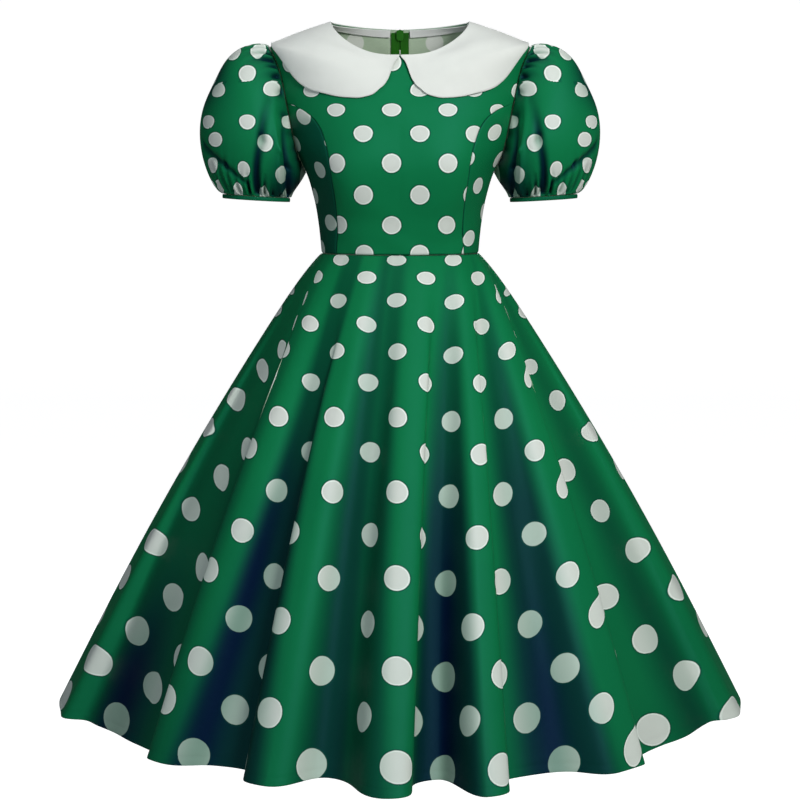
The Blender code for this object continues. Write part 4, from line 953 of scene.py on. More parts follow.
def skirt_print(outer, share, arc, lines, tucked):
    """Dots of the skirt: columns spread towards the hem, rows stand further apart."""
    radius = np.hypot(outer[..., 0], outer[..., 1])
    steps = np.hypot(np.diff(radius, axis=0), np.diff(outer[..., 2], axis=0))
    length = np.concatenate([np.zeros((1, outer.shape[1])), np.cumsum(steps, axis=0)])
    rows = np.arange(len(SKIRT_ROW_LENGTHS), dtype=float)
    row = np.interp(length, SKIRT_ROW_LENGTHS, rows)
    first_gap = SKIRT_ROW_LENGTHS[1] - SKIRT_ROW_LENGTHS[0]
    last_gap = SKIRT_ROW_LENGTHS[-1] - SKIRT_ROW_LENGTHS[-2]
    row = row + np.minimum(length - SKIRT_ROW_LENGTHS[0], 0.0) / first_gap
    row = row + np.maximum(length - SKIRT_ROW_LENGTHS[-1], 0.0) / last_gap
    spacing = SKIRT_COLUMN + SKIRT_COLUMN_GROWTH * share
    column = (arc + SKIRT_COLUMN_START) / spacing
    slip = smoothstep(0.0, SKIRT_SLIP_OVER, -arc - SKIRT_SLIP_FROM)
    column = column + SKIRT_SLIP * share * slip
    stretched = 1.0 + SKIRT_SLIP * share * spacing * np.gradient(slip, axis=1) / np.gradient(arc, axis=1)
    if tucked:
        extra, drop = tucked_print(share, arc, spacing, lines)
        column, row = column + extra, row + drop
        inner = smoothstep(FLANK_LINES[0] + 0.8, FLANK_LINES[0] + 1.4, lines)
        row = row + VALLEY_ROWS * inner * np.cos(np.pi / 2.0 * lines) ** 2 * smoothstep(0.1, 0.4, share)
    knots = np.linspace(0.0, 1.0, len(SKIRT_DOT_RADII))
    dot = np.interp(share, knots, SKIRT_DOT_RADII)
    tall = np.interp(share, knots, SKIRT_DOT_HEIGHTS)
    height = np.interp(length, SKIRT_ROW_LENGTHS, np.gradient(SKIRT_ROW_LENGTHS))
    wide = dot / spacing * np.clip(stretched, 0.6, 1.2)
    if tucked:
        flanks = (FLANK_LINES[0] - 0.5, FLANK_LINES[0] + 0.7, FLANK_LINES[1] + 0.5, FLANK_LINES[1] + 1.5)
        wide = wide * np.interp(lines, flanks, (FLANK_DOT_GROWTH[0], 1.0, 1.0, FLANK_DOT_GROWTH[1]))
    return print_vectors(column, row, wide, tall / height, dot)


def tucked_print(share, arc, spacing, lines):
    """Columns and rows that tucks and the stretched flanks add to the front skirt's print."""
    extra = np.zeros_like(arc)
    for tuck in SKIRT_TUCKS:
        side = 1.0 if tuck.line > FRONT_CENTRE_LINE else -1.0
        past = smoothstep(-TUCK_REACH, TUCK_REACH, side * (lines - tuck.line))
        hidden = tuck.at_waist + (tuck.at_hem - tuck.at_waist) * share
        extra = extra + side * past * hidden * smoothstep(0.0, TUCK_FADE, share)
    drop = np.zeros_like(arc)
    for side, line, stretch in zip((-1.0, 1.0), FLANK_LINES, FLANK_STRETCH):
        start = arc[:, [int(np.argmin(np.abs(lines - line)))]]
        beyond = np.maximum(side * (arc - start), 0.0)
        extra = extra - side * stretch * beyond / spacing
        past = smoothstep(0.0, 2 * TUCK_REACH, side * (lines - line) + TUCK_REACH)
        drop = drop + FLANK_ROW_RISE * past - FLANK_ROW_FALL * beyond
    return extra, drop


def skirt_columns(first_deg, last_deg, per_side):
    """Waist and hem angles of the columns between two folds, and their places among the folds."""
    waist, hem, lines = [], [], []
    for index, (here, after) in enumerate(zip(SKIRT_FOLDS, SKIRT_FOLDS[1:])):
        if here.hem_deg < first_deg or after.hem_deg > last_deg:
            continue
        count = round(per_side * max(1.0, (after.hem_deg - here.hem_deg) / USUAL_FOLD_DEG))
        shares = np.arange(count) / count
        waist.extend(here.waist_deg + (after.waist_deg - here.waist_deg) * shares)
        hem.extend(here.hem_deg + (after.hem_deg - here.hem_deg) * shares)
        lines.extend(index + shares)
        last = index + 1.0
    waist.append(last_deg)
    hem.append(last_deg)
    lines.append(last)
    return np.radians(waist), np.radians(hem), np.array(lines)


def painted_fold_shade(lines, share):
    """Painted shade of the skirt: how dark and how blue its cloth is painted in its folds and towards the
    hem.
    """
    shades = list(FRONT_PAINTED_SHADES)
    for valley in range(0, len(SKIRT_FOLDS), 2):
        if not FRONT_SHADE_LINES[0] < valley < FRONT_SHADE_LINES[1]:
            shades.append(PaintedFoldShade(valley - 0.3, valley - 0.5, 0.35, valley + 0.3, valley + 0.5, 0.35,
                                    BACK_PAINTED_DARKNESS))
    dark = HEM_PAINTED_SHADE * smoothstep(0.2, 1.0, share) + 0.0 * lines
    for shade in shades:
        left = shade.left + (shade.left_hem - shade.left) * share
        right = shade.right + (shade.right_hem - shade.right) * share
        band = smoothstep(left - shade.left_soft, left + shade.left_soft, lines)
        band = band * smoothstep(right + shade.right_soft, right - shade.right_soft, lines)
        dark = np.maximum(dark, band * np.interp(share, DARKNESS_SHARES, shade.darkness))
    blue = 0.0 * dark
    for core in PAINTED_SHADE_CORES:
        away = (lines - core.line - (core.line_hem - core.line) * share) / core.half
        grown = smoothstep(core.start, min(core.start + 0.35, 1.0), share)
        blue = np.maximum(blue, grown * np.exp(-((away / (0.6 + 0.4 * share)) ** 2)))
    return dark, blue


def skirt_shares():
    """Rows of the skirt, closer together at the waist seam and at the hem."""
    near_waist = np.array([0.0, 0.0008, 0.0018, 0.0032, 0.005])
    near_hem = 1.0 - np.array([0.020, 0.0175, 0.015, 0.010, 0.004, 0.0015, 0.0])
    return np.concatenate([near_waist, np.linspace(0.011, 0.974, 88), near_hem])


def make_skirt_panel(node, first_deg, last_deg):
    """One panel of the skirt, its print laid from the front or back centre."""
    waist, hem, lines = skirt_columns(first_deg, last_deg, COLUMNS_PER_SIDE)
    shares = skirt_shares()
    outer = []
    for share in shares:
        angle = fold_line_angles(waist, hem, share)
        at_back = share * SKIRT_DROP < ZIP_BELOW_WAIST
        for column, degrees, sign in ((0, first_deg, 1.0), (-1, last_deg, -1.0)):
            gap = ZIP_SLIT if at_back and abs(degrees) == 180.0 else SEAM_GAP
            angle[column] += sign * gap / 2.0 / float(skirt_base_radius(angle[column], share))
        outer.append(skirt_row(angle, share))
    outer = np.array(outer)
    share = np.repeat(shares[:, None], outer.shape[1], axis=1)
    normals = grid_normals(outer, flip=True)
    across = distances(outer, 1)
    front = first_deg < 0.0 < last_deg
    if front:
        middle = np.argmin(np.abs(outer[..., 0]) + (outer[..., 1] > 0), axis=1)
        arc = across - np.take_along_axis(across, middle[:, None], 1)
        arc = arc + np.take_along_axis(outer[..., 0], middle[:, None], 1)
    else:
        arc = across - across[:, -1:] if last_deg == 180.0 else across
    vectors = skirt_print(outer, share, arc, lines, front)
    # The fold attribute carries the painted shade of the folds: how dark, then how blue.
    vectors.update(cloth_vectors(outer, *painted_fold_shade(lines, share)))

    outer, dip = roll_into_seams(outer, normals, SEWN_SIDES)
    # Shade painted at the bottom of the seams joins it.
    vectors["fold"][..., 0] = np.maximum(vectors["fold"][..., 0], dip)
    from_hem = distances(outer, 0)[-1:] - distances(outer, 0)
    dimple = np.exp(-(((from_hem - HEM_DEPTH_SEWN) / HEM_DIMPLE_WIDTH) ** 2))
    edge = np.clip(1.0 - from_hem / HEM_DIMPLE_WIDTH, 0.0, 1.0) ** 2
    outer = outer - normals * (HEM_DIMPLE * dimple + HEM_DIMPLE * edge)[..., None]
    layers = 1.0 + smoothstep(HEM_DEPTH_SEWN + HEM_STEP, HEM_DEPTH_SEWN - HEM_STEP, from_hem)
    inner = outer - normals * (CLOTH * (1.0 - HEM_LAYER + HEM_LAYER * layers))[..., None]
    inner[0, :, 2] = np.minimum(inner[0, :, 2], outer[0, :, 2])
    inner[-1, :, 2] = outer[-1, :, 2]
    return cloth_piece(node, outer, inner, (SATIN, INSIDE), vectors)


# ---------------------------------------------------------------- bodice
def princess_angle(level):
    """Angle of the princess seam at a level."""
    levels, degrees = column_of(PRINCESS_SEAM, "level"), column_of(PRINCESS_SEAM, "degrees")
    return np.radians(smooth_through(levels, degrees, level))


def seam_inset(angle, level, gap=SEAM_GAP):
    """Angle that moves an upright edge by half a gap at this place."""
    radius = float(np.hypot(*bodice_surface(angle, level)[:2]))
    return gap / 2.0 / radius


def princess_inset(level):
    """Angle that moves the princess seam's edge by half a seam gap, square to the seam."""
    near, far = np.array([level - 0.02, level])
    run = bodice_surface(princess_angle(far), far) - bodice_surface(princess_angle(near), near)
    slant = float(np.linalg.norm(run) / run[2])
    return seam_inset(float(princess_angle(level)), level) * slant


def front_edge(level):
    """Outer edge of the front centre panel: princess seam, armhole, then shoulder seam."""
    if level < PRINCESS_TOP - 1e-6:
        return float(princess_angle(level)) - princess_inset(level)
    if level < SHOULDER_TIP:
        return armhole_angle(level, True)
    return SIDE - seam_inset(SIDE, level)


def side_front_edges(level):
    """Both edges of a side front panel."""
    inner = float(princess_angle(level)) + princess_inset(level)
    outer = SIDE - seam_inset(SIDE, level) if level <= UNDERARM else armhole_angle(level, True)
    return inner, max(outer, inner + 0.001)


def back_edges(level):
    """Both edges of a back panel, from the side to the slit over the zip."""
    centre = BACK - seam_inset(BACK, level, ZIP_SLIT)
    if UNDERARM < level < SHOULDER_TIP:
        return armhole_angle(level, False), centre
    return SIDE + seam_inset(SIDE, level), centre


def bodice_levels(top=NECKLINE):
    """Levels of the rows of a bodice panel, close together where its edge turns."""
    armhole = ARMHOLE_LEVEL - 0.5 * np.cos(np.radians(np.linspace(0.0, 180.0, 45)))
    levels = np.concatenate([
        [0.0, 0.004, 0.010, 0.018, 0.03],
        np.linspace(0.06, 0.97, 26),
        armhole,
        PRINCESS_TOP - PRINCESS_TIP_DROP - np.array([0.0, 0.004, 0.008, 0.014, 0.022, 0.032, 0.044, 0.058]),
        [PRINCESS_TOP],
        np.linspace(2.03, 2.97, 22),
        [2.985, 2.994, 3.0],
    ])
    levels = np.unique(np.round(levels, 6))
    return levels[levels <= top + 1e-9]


def full_turn(count):
    """Angles all the way round, evenly spaced, without a second one at the start."""
    return np.linspace(0.0, 2 * np.pi, count, endpoint=False)


def crowded(count, amount=0.85):
    """Shares from 0 to 1 that crowd towards both ends."""
    even = np.linspace(0.0, 1.0, count + 1)
    return even + amount * ((1.0 - np.cos(np.pi * even)) / 2.0 - even)


def bodice_panel(levels, edges, columns):
    """Outer points and normals of a bodice panel between two edge angles at each level."""
    shares = crowded(columns)
    angles = np.array([first + (last - first) * shares for first, last in edges])
    heights = np.repeat(np.asarray(levels)[:, None], columns + 1, axis=1)
    outer = bodice_surface(angles, heights)
    return outer, surface_normal(bodice_surface, angles, heights), angles, heights


def ring_arc(angle, level):
    """Length of cloth along a bodice ring from the front centre to an angle."""
    angles = np.linspace(0.0, angle, 80)
    points = bodice_surface(angles, np.full(80, level))
    return float(np.linalg.norm(np.diff(points, axis=0), axis=1).sum())


def bodice_row(height, start=None):
    """Print row at a height: by the front's own rows, or evenly from a dot at start."""
    if start is not None:
        return (height - start) / BODICE_ROW
    rows = np.arange(len(BODICE_ROW_HEIGHTS), dtype=float)
    row = np.interp(height, BODICE_ROW_HEIGHTS, rows)
    row = row + np.minimum(height - BODICE_ROW_HEIGHTS[0], 0.0) / BODICE_ROW
    return row + np.maximum(height - BODICE_ROW_HEIGHTS[-1], 0.0) / BODICE_ROW


def bodice_wrinkles(angles, levels):
    """Slight pulls of the bodice cloth, in metres: long ones that lean, and short ones at the waist."""
    lean = np.sin(9.0 * angles + 5.0 * levels) * np.sin(4.3 * levels + 1.0)
    fade = np.exp(-((levels / WAIST_PULL_REACH) ** 2))
    return LONG_PULL * lean + WAIST_PULL * (fade * np.sin(16.0 * levels + 3.0 * np.sin(3 * angles)))


def finish_panel(node, outer, normals, vectors, relief=0.0):
    """Shell of one bodice panel with its seams rolled in."""
    outer = outer + normals * np.asarray(relief)[..., None]
    outer, dip = roll_into_seams(outer, normals, SEWN_SIDES)
    # Shade painted at the bottom of the seams.
    vectors["fold"][..., 0] = np.maximum(vectors["fold"][..., 0], dip)
    inner = outer - CLOTH * normals
    return cloth_piece(node, outer, inner, (SATIN, INSIDE), vectors)


def make_bodice():
    """Front centre panel, two side front panels and two back panels."""
    pieces = {}
    dots = (BODICE_DOT / BODICE_COLUMN, BODICE_DOT_TALL, BODICE_DOT)
    levels = bodice_levels()
    edges = [(-front_edge(level), front_edge(level)) for level in levels]
    outer, normals, angles, heights = bodice_panel(levels, edges, FRONT_COLUMNS)
    across = distances(outer, 1)
    arc = across - across[:, -1:] / 2.0
    column = (arc + BODICE_COLUMN_START) / BODICE_COLUMN
    vectors = print_vectors(column, bodice_row(outer[..., 2]), *dots)
    vectors.update(cloth_vectors(outer))
    relief = bodice_wrinkles(angles, heights)
    pieces["bodice_front"] = finish_panel("bodice_front", outer, normals, vectors, relief)

    tip = PRINCESS_TOP - PRINCESS_TIP_DROP
    levels = bodice_levels(tip)
    outer, normals, angles, heights = bodice_panel(
        levels, [side_front_edges(level) for level in levels], SIDE_COLUMNS)
    start = np.array([ring_arc(side_front_edges(level)[0], level) for level in levels])[:, None]
    arc = distances(outer, 1) + start
    for (node, turn), row_start, (dark, blue) in zip(both_sides("bodice_side"), SIDE_ROW_START, SIDE_SHADES):
        row = bodice_row(outer[..., 2], row_start)
        column = (arc - SIDE_COLUMN_START) / BODICE_COLUMN + SIDE_ROW_SLANT * row
        vectors = print_vectors(column, SIDE_ROW_CROWD * row, *dots)
        # Painted shade on the lower part of each side panel.
        shade = smoothstep(SIDE_SHADE_FROM, SIDE_SHADE_FULL, outer[..., 2])
        vectors.update(cloth_vectors(outer, dark * shade, blue * shade))
        pieces[node] = finish_panel(node, turn(outer), turn(normals), vectors)

    levels = bodice_levels()
    outer, normals, angles, heights = bodice_panel(
        levels, [back_edges(level) for level in levels], BACK_COLUMNS)
    across = distances(outer, 1)
    arc = across[:, -1:] - across
    for (node, turn), column_start in zip(both_sides("bodice_back"), BACK_COLUMN_START):
        row = bodice_row(outer[..., 2], BACK_ROW_START)
        vectors = print_vectors((arc - column_start) / BODICE_COLUMN, row, *dots)
        vectors.update(cloth_vectors(outer))
        relief = bodice_wrinkles(angles, heights)
        pieces[node] = finish_panel(node, turn(outer), turn(normals), vectors, relief)
    return pieces


# ---------------------------------------------------------------- collar and binding
def make_collar():
    """Two flat collar halves with rounded, slightly lifting edges."""
    known = column_of(COLLAR_EDGE, "degrees")
    degrees = known[0] + (known[-1] - known[0]) * crowded(COLLAR_COLUMNS, 0.35)
    edge = smooth_through(known, column_of(COLLAR_EDGE, "level"), degrees)
    shares = crowded(COLLAR_MESH_ROWS, 0.9)[:, None]
    levels = NECKLINE + (edge[None, :] - NECKLINE) * shares
    angles = np.repeat(np.radians(degrees)[None, :], len(shares), axis=0)
    normal = surface_normal(bodice_surface, angles, levels)
    ripple = COLLAR_RIPPLE * np.sin(np.radians(degrees) * 7.0 + 1.0)[None, :] * shares**2
    lift = COLLAR_LIFT + COLLAR_SPRING * shares + ripple + 0.0 * levels
    under = bodice_surface(angles, levels) + lift[..., None] * normal
    top = under + COLLAR_WALL * normal

    # Turned edges are round: top and underside close in on each other there.
    across, along = distances(top, 1), distances(top, 0)
    away = np.minimum.reduce([along, along[-1:] - along, across, across[:, -1:] - across])
    round_off = 1.0 - np.sqrt(1.0 - np.clip(1.0 - away / (COLLAR_WALL / 2), 0.0, 1.0) ** 2)
    pinch = (COLLAR_WALL / 2 * COLLAR_PINCH) * round_off
    groove = COLLAR_GROOVE * np.exp(-(((away - COLLAR_STITCH_IN) / COLLAR_GROOVE_WIDTH) ** 2))
    top = top - normal * (pinch + groove)[..., None]
    under = under + normal * pinch[..., None]
    vectors = cloth_vectors(top)
    made = {}
    for node, turn in both_sides("collar"):
        made[node] = cloth_piece(node, turn(top), turn(under), (COLLAR_CLOTH,), vectors)
    return made


def make_binding():
    """Neck binding on the inside of the neckline, with its lower edge stitched."""
    radius = float(np.hypot(*bodice_surface(BACK, NECKLINE)[:2]))
    end = BACK - (ZIP_TAPE_WIDTH + ZIP_SLIT) / radius
    angles = np.linspace(-end, end, 241)
    top = bodice_surface(angles, NECKLINE)
    step = 0.25
    lower = bodice_surface(angles, NECKLINE - step)
    depth = step * BINDING_HEIGHT / np.linalg.norm(top - lower, axis=-1)
    rows = np.linspace(0.0, 1.0, 9)[:, None]
    levels = NECKLINE - rows * depth[None, :]
    angles = np.repeat(angles[None, :], len(rows), axis=0)
    normal = surface_normal(bodice_surface, angles, levels)
    pucker = BINDING_PUCKER * np.sin(angles * BINDING_PUCKERS) * rows
    lift = SOLID_WALL + INNER_LIFT + pucker
    outer = bodice_surface(angles, levels) - lift[..., None] * normal
    inner = outer - BINDING_WALL * normal
    piece = cloth_piece("neck_binding", outer, inner, (BINDING_CLOTH,),
                        cloth_vectors(outer))
    return piece, inner, -normal


# ---------------------------------------------------------------- sleeves
def sleeve_print(points):
    """Dots of a sleeve: columns by the turn round the arm, rows by the rise along it."""
    offset = points - np.array(SLEEVE_AXIS)
    radius = np.hypot(offset[..., 0], offset[..., 1])
    turn = np.arctan2(offset[..., 0], -offset[..., 1])
    turn = (turn + np.pi / 2) % (2 * np.pi) - np.pi / 2
    rise = SLEEVE_MERIDIAN * np.arctan2(offset[..., 2], radius)
    rises = column_of(SLEEVE_ROWS, "rise")
    last = len(SLEEVE_ROWS) - 1

    def row_at(rise):
        inside = smooth_through(rises, np.arange(last + 1.0), np.clip(rise, rises[0], rises[-1]))
        past = np.minimum(rise - rises[0], 0.0) + np.maximum(rise - rises[-1], 0.0)
        return inside + past / SLEEVE_ROW

    row = row_at(rise)
    height = 2e-4 / (row_at(rise + 1e-4) - row_at(rise - 1e-4))
    nearest = np.clip(np.rint(row), 0, last).astype(int)
    width, shift, wide, tall = (
        column_of(SLEEVE_ROWS, name)[nearest] for name in ("column", "shift", "wide", "tall")
    )
    far = smoothstep(math.radians(60.0), math.radians(110.0), np.abs(turn))
    round_radius = radius * (1.0 - far) + SLEEVE_GIRTH_RADIUS * far
    column = (turn * round_radius - shift) / width
    facing = np.maximum(np.cos(turn), 0.70)
    facing = facing + (1.0 - facing) * smoothstep(math.radians(95.0), math.radians(130.0), turn)
    return print_vectors(column, row + SLEEVE_FIRST_ROW, SLEEVE_DOT * wide / width / facing,
                         SLEEVE_DOT * tall / height, SLEEVE_DOT)


def make_sleeves():
    """Two puff sleeves and their narrow cuffs."""
    made = {}
    round_arm = full_turn(SLEEVE_COLUMNS)[None, :]
    rows = crowded(SLEEVE_MESH_ROWS, 0.75)[:, None]
    round_arm, share = np.broadcast_arrays(round_arm, rows)
    base = sleeve_base(round_arm, share)
    normals = surface_normal(sleeve_base, round_arm, share)
    relief = sleeve_relief(round_arm, share)
    outer = base + normals * relief[..., None]
    # Painted shade: the underarm side, the cap near its seam and the creases are painted dark, deep creases
    # and the low underarm side blue.
    under = smoothstep(0.05, 0.85, -np.cos(round_arm))
    near_seam = np.exp(-((share / CAP_SHADE_REACH) ** 2)) * smoothstep(0.05, 0.9, np.abs(np.sin(round_arm)))
    depth = np.maximum(-relief, 0.0) / CREASE_SHADE + UNDERARM_SHADE * under + CAP_SHADE * near_seam
    depth = np.clip(depth, 0.0, 1.0)
    blue = UNDERARM_PAINTED_BLUE_SHADE * smoothstep(0.20, 0.60, share) * smoothstep(0.25, 0.85, -np.cos(round_arm))
    blue = np.clip(np.maximum(blue, -relief / CREASE_PAINTED_BLUE_SHADE), 0.0, 1.0)
    vectors = sleeve_print(base)
    vectors.update(cloth_vectors(outer, depth, blue))
    normals = grid_normals(outer, closed_round=True)
    if normals[40, 0] @ (base[40, 0] - np.array(SLEEVE_AXIS)) < 0.0:
        normals = -normals
    ends = np.minimum(distances(outer, 0), distances(outer, 0)[-1:] - distances(outer, 0))
    dip = SEAM_DIP * np.clip(1.0 - ends / SEAM_ROLL, 0.0, 1.0) ** 2
    outer = outer - dip[..., None] * normals
    inner = outer - CLOTH * normals
    for node, turn in both_sides("sleeve"):
        made[node] = cloth_piece(node, turn(outer), turn(inner), (SATIN, INSIDE),
                                 vectors, closed_round=True)

    round_cuff = full_turn(CUFF_COLUMNS)
    lifts = CUFF_HEIGHT / 2 * np.cos(np.linspace(0.0, np.pi, CUFF_MESH_ROWS))
    outer = np.stack([cuff_loop(round_cuff, lift) for lift in lifts])
    axis = np.array(CUFF_CENTRE)
    plan = outer[..., :2] - axis[:2]
    bulge = np.sqrt(np.clip(1.0 - (lifts / (CUFF_HEIGHT / 2)) ** 2, 0.0, 1.0))[:, None]
    pucker = CUFF_PUCKER * np.sin(CUFF_PUCKERS * round_cuff)[None, :]
    grow = (CUFF_BULGE * (bulge - 1.0) + pucker) / CUFF_HALF_DEPTH
    inner = outer.copy()
    outer[..., :2] = axis[:2] + plan * (1.0 + grow[..., None])
    inner[..., :2] = axis[:2] + plan * (1.0 - CUFF_WALL / CUFF_HALF_DEPTH - grow[..., None])
    vectors = print_vectors(*(np.full(outer.shape[:2], value) for value in CUFF_PRINT))
    # The cuffs are painted in shade all round.
    vectors.update(cloth_vectors(outer, CUFF_SHADE))
    for node, turn in both_sides("cuff"):
        made[node] = cloth_piece(node, turn(outer), turn(inner), (SATIN, INSIDE),
                                 vectors, closed_round=True)
    return made


# ---------------------------------------------------------------- zip and stitches
def along_path(places, run, values):
    """Vectors given at distances run along a path, read at other places on it."""
    return np.stack([np.interp(places, run, values[:, k]) for k in range(3)], -1)


def back_path(aside, inset, start_level, spacing):
    """Points down the back, a fixed way aside from its centre, with their outward normals.

    The path runs inset metres under the outside of the dress, from a level of the bodice to the
    zip's lower end, with spacing metres between its points.
    """
    levels = np.linspace(start_level, 0.02, 220)
    angles = BACK - np.arctan2(aside, bodice_surface(BACK, levels)[:, 1])
    upper = bodice_surface(angles, levels)
    upper_normals = surface_normal(bodice_surface, angles, levels)
    shares = np.linspace(0.004, ZIP_BELOW_WAIST / SKIRT_DROP, 60)
    lower = []
    for share in shares:
        depth = float(skirt_row(np.array([BACK]), share)[0, 1])
        lower.append(skirt_row(np.array([BACK - np.arctan2(aside, depth)]), share)[0])
    lower = np.array(lower)
    slope = np.gradient(lower[:, 1]) / np.gradient(lower[:, 2])
    lower_normals = unit(np.stack([np.zeros(len(lower)), np.ones(len(lower)), -slope], -1))
    points = np.concatenate([upper, lower])
    normals = np.concatenate([upper_normals, lower_normals])
    run = distances(points, 0)
    places = np.arange(0.0, run[-1], spacing)
    normals = unit(along_path(places, run, normals))
    return along_path(places, run, points) - inset * normals, normals


def make_tapes():
    """The two woven zip tapes."""
    made = {}
    columns = ZIP_SLIT / 2 + ZIP_TAPE_WIDTH * np.linspace(0.0, 1.0, TAPE_COLUMNS)
    inset = SOLID_WALL + INNER_LIFT
    grid = [back_path(aside, inset, ZIP_TOP_LEVEL, TAPE_ROW_STEP) for aside in columns]
    rows = min(len(points) for points, _ in grid)
    outer = np.stack([points[:rows] for points, _ in grid], 1)
    normals = np.stack([normal[:rows] for _, normal in grid], 1)
    beads = TAPE_BEAD * np.cos(np.linspace(0.0, TAPE_BEADS * 2 * np.pi, TAPE_COLUMNS))[None, :, None]
    inner = outer - (TAPE_THINNED * TAPE_WALL + beads) * normals
    for node, turn in both_sides("zip_tape"):
        made[node] = cloth_piece(node, turn(outer), turn(inner), (TAPE_CLOTH,),
                                 cloth_vectors(outer))
    return made


def stitch_row(name, starts, ends, normals, radius, material):
    """One piece of many short round threads between paired points."""
    sides, rings = 6, 5
    around = full_turn(sides)
    along = np.linspace(-1.0, 1.0, rings)
    fat = np.sqrt(np.clip(1.0 - np.abs(along) ** 4, 0.04, 1.0))
    middle, half = (starts + ends) / 2.0, (ends - starts) / 2.0
    axis = unit(half)
    side = unit(np.cross(axis, normals))
    up = np.cross(side, axis)
    offset = np.cos(around)[:, None, None] * side + np.sin(around)[:, None, None] * up
    points = middle + along[:, None, None, None] * half + radius * fat[:, None, None, None] * offset
    points = points.transpose(2, 0, 1, 3).reshape(-1, 3)
    first = (np.arange(len(starts)) * sides * rings)[:, None, None]
    ring = np.arange(rings - 1)[None, :, None] * sides
    here = np.arange(sides)[None, None, :]
    after = (here + 1) % sides
    quads = np.stack([first + ring + here, first + ring + after,
                      first + ring + sides + after, first + ring + sides + here], -1).reshape(-1, 4)
    caps = []
    for start in first.ravel():
        caps.append([start + k for k in reversed(range(sides))])
        caps.append([start + (rings - 1) * sides + k for k in range(sides)])
    mesh = bpy.data.meshes.new(name)
    mesh.from_pydata(points.tolist(), [], quads.tolist() + caps)
    mesh.materials.append(material)
    mesh.shade_smooth()
    piece = add(name, mesh)
    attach(piece, "dress")


def make_coil():
    """Closed zip coil: short round bars across the middle, under the slit."""
    points, normals = back_path(0.0, COIL_DEPTH, COIL_TOP_LEVEL, COIL_PITCH)
    reach = np.array([COIL_HALF_WIDTH, 0.0, 0.0])
    stitch_row("zip_coil", points - reach, points + reach, normals, COIL_RADIUS, COIL)


def make_zip_seams():
    """Rows of stitches that hold the tapes, seen on the outside of the back."""
    points, normals = back_path(ZIP_STITCH_ASIDE, -STITCH_LIFT, STITCH_TOP_LEVEL, STITCH_PITCH / 2)
    count = 2 * ((len(points) - 1) // 2)
    starts = points[0:count:2]
    ends = starts + (points[1:count:2] - starts) * STITCH_SHARE * 2
    for name, turn in both_sides("zip_stitches"):
        stitch_row(name, turn(starts), turn(ends), turn(normals[0:count:2]), STITCH_RADIUS,
                   GREEN_THREAD)


def make_binding_seam(inner, normals):
    """Stitches along the lower edge of the neck binding, on the inside of the neck."""
    row = inner[-2] * 0.7 + inner[-1] * 0.3 + STITCH_LIFT * normals[-1]
    run = distances(row, 0)
    places = np.arange(0.001, run[-1] - STITCH_PITCH, STITCH_PITCH)
    starts = along_path(places, run, row)
    ends = along_path(places + STITCH_SHARE * STITCH_PITCH, run, row)
    stitch_row("binding_stitches", starts, ends, along_path(places, run, normals[-1]), STITCH_RADIUS,
               WHITE_THREAD)


METAL_EDGE = 0.0003


def dress_zip_metal():
    """Slider and pull keep their CAD form, with softened edges and enamel."""
    for node in ("zip_slider", "zip_pull"):
        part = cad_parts[node]
        part.data.materials.clear()
        part.data.materials.append(ENAMEL)
        bevel = part.modifiers.new("edges", "BEVEL")
        bevel.width = METAL_EDGE
        bevel.segments = 2
        bevel.limit_method = "ANGLE"


# ---------------------------------------------------------------- the dress
cloth = {}
for skirt_node, from_deg, to_deg in (
    ("skirt_front", -90.0, 90.0), ("skirt_back_left", 90.0, 180.0), ("skirt_back_right", -180.0, -90.0),
):
    cloth[skirt_node] = make_skirt_panel(skirt_node, from_deg, to_deg)
cloth.update(make_bodice())
cloth.update(make_collar())
cloth["neck_binding"], binding_inner, binding_normals = make_binding()
cloth.update(make_sleeves())
cloth.update(make_tapes())
make_coil()
make_zip_seams()
make_binding_seam(binding_inner, binding_normals)
dress_zip_metal()

# ---------------------------------------------------------------- stage, light and camera
def area_light(name, place_at, aim, size, power, colour=(1.0, 1.0, 1.0)):
    """Soft square lamp at a place, aimed at a point."""
    data = bpy.data.lights.new(name, "AREA")
    data.size = size
    data.energy = power
    data.color = colour
    lamp = add(name, data)
    lamp.location = place_at
    lamp.visible_camera = False
    lamp.rotation_euler = (Vector(aim) - Vector(place_at)).to_track_quat("-Z", "Y").to_euler()


area_light("key_lamp", (1.45, -2.55, 1.1), (0.0, 0.0, -0.45), 0.9, 86.0, (1.0, 0.99, 0.97))
area_light("fill_lamp", (-2.2, -2.6, 0.2), (0.0, 0.0, -0.5), 2.0, 26.0, (0.90, 0.95, 1.0))
area_light("top_lamp", (0.0, -0.3, 2.0), (0.0, 0.0, -0.2), 1.2, 12.0)
area_light("back_lamp", (0.0, 3.2, 0.3), (0.0, 0.0, -0.5), 1.4, 42.0)

# The camera sees the room as white as the paper, and the dress gets its dim pale light.
world = bpy.data.worlds.new("studio")
bpy.context.scene.world = world
world.use_nodes = True
room = world.node_tree
background = room.nodes["Background"]
background.inputs["Color"].default_value = (0.70, 0.82, 1.0, 1.0)
background.inputs["Strength"].default_value = 0.10
white_room = room.nodes.new("ShaderNodeBackground")
white_room.inputs["Color"].default_value = (1.0, 1.0, 1.0, 1.0)
choose = room.nodes.new("ShaderNodeMixShader")
ray = room.nodes.new("ShaderNodeLightPath")
room.links.new(ray.outputs["Is Camera Ray"], choose.inputs[0])
room.links.new(background.outputs[0], choose.inputs[1])
room.links.new(white_room.outputs[0], choose.inputs[2])
room.links.new(choose.outputs[0], room.nodes["World Output"].inputs["Surface"])


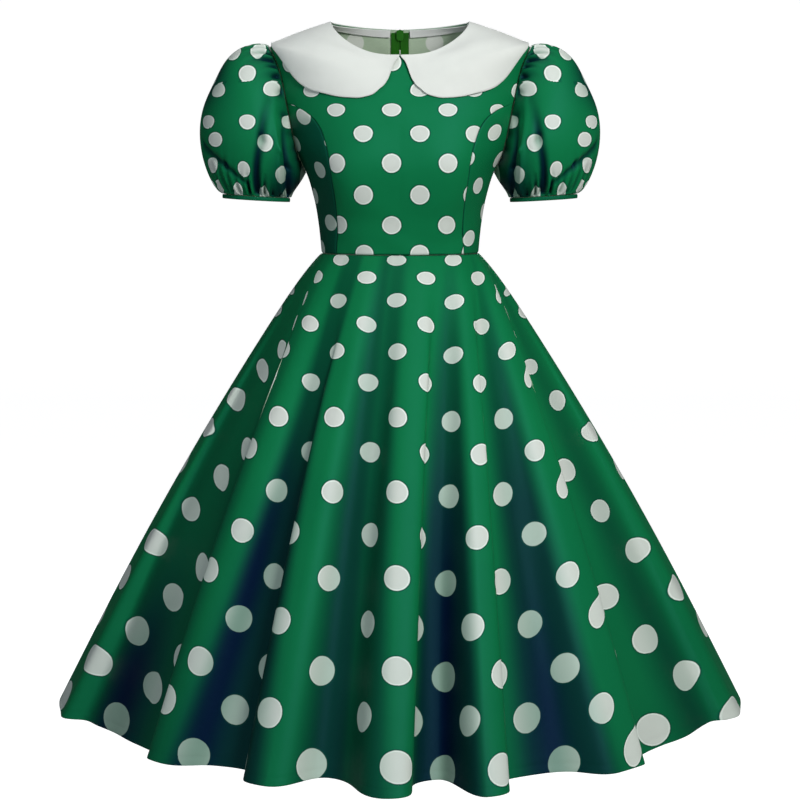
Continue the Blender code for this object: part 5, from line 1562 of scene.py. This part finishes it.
PAPER, PAPER_GRAIN, PAPER_GLOW = (0.30, 0.30, 0.30, 1.0), (0.26, 0.26, 0.26, 1.0), 0.97
PAPER_FLOOR, PAPER_NEAR, PAPER_FAR, PAPER_TOP, PAPER_HALF_WIDTH = -1.45, -12.0, 9.0, 9.0, 12.0
PAPER_TURN, PAPER_TURN_STEPS = 1.2, 12


def stage_material():
    """Pale studio paper, bright to the camera and dim towards the dress."""
    graph = Graph("studio_paper")
    paper = graph.mix(graph.times(graph.noise(60.0, 3.0), 0.1), PAPER, PAPER_GRAIN)
    glow = graph.node("ShaderNodeLightPath").outputs["Is Camera Ray"]
    graph.shader.inputs["Emission Color"].default_value = (1.0, 1.0, 1.0, 1.0)
    graph.feed(graph.shader.inputs["Emission Strength"], graph.times(glow, PAPER_GLOW))
    return graph.finish(paper, 0.9)


def make_stage():
    """Seamless paper: a floor well below the hem that curves up into a backdrop."""
    turn_from = PAPER_FAR - PAPER_TURN
    profile = [(PAPER_NEAR, PAPER_FLOOR), (turn_from, PAPER_FLOOR)]
    for step in range(1, PAPER_TURN_STEPS + 1):
        angle = math.radians(90.0 * step / PAPER_TURN_STEPS)
        rise = PAPER_TURN * (1 - math.cos(angle))
        profile.append((turn_from + PAPER_TURN * math.sin(angle), PAPER_FLOOR + rise))
    profile.append((PAPER_FAR, PAPER_TOP))
    points = [(x, y, z) for y, z in profile for x in (-PAPER_HALF_WIDTH, PAPER_HALF_WIDTH)]
    faces = [(2 * i, 2 * i + 1, 2 * i + 3, 2 * i + 2) for i in range(len(profile) - 1)]
    mesh = bpy.data.meshes.new("studio_floor")
    mesh.from_pydata(points, [], faces)
    mesh.materials.append(stage_material())
    mesh.shade_smooth()
    add("studio_floor", mesh)


make_stage()

CAMERA_DISTANCE, CAMERA_HEIGHT, CAMERA_PITCH, CAMERA_LENS = 3.0, -0.196, 6.68, 90.0
camera_data = bpy.data.cameras.new("camera")
camera_data.lens = CAMERA_LENS
camera_data.sensor_width = 36.0
camera = add("camera", camera_data)
camera.location = (0.0, -CAMERA_DISTANCE, CAMERA_HEIGHT)
camera.rotation_euler = (math.radians(90.0 - CAMERA_PITCH), 0.0, 0.0)
bpy.context.scene.camera = camera
bpy.context.scene.view_settings.view_transform = "Standard"
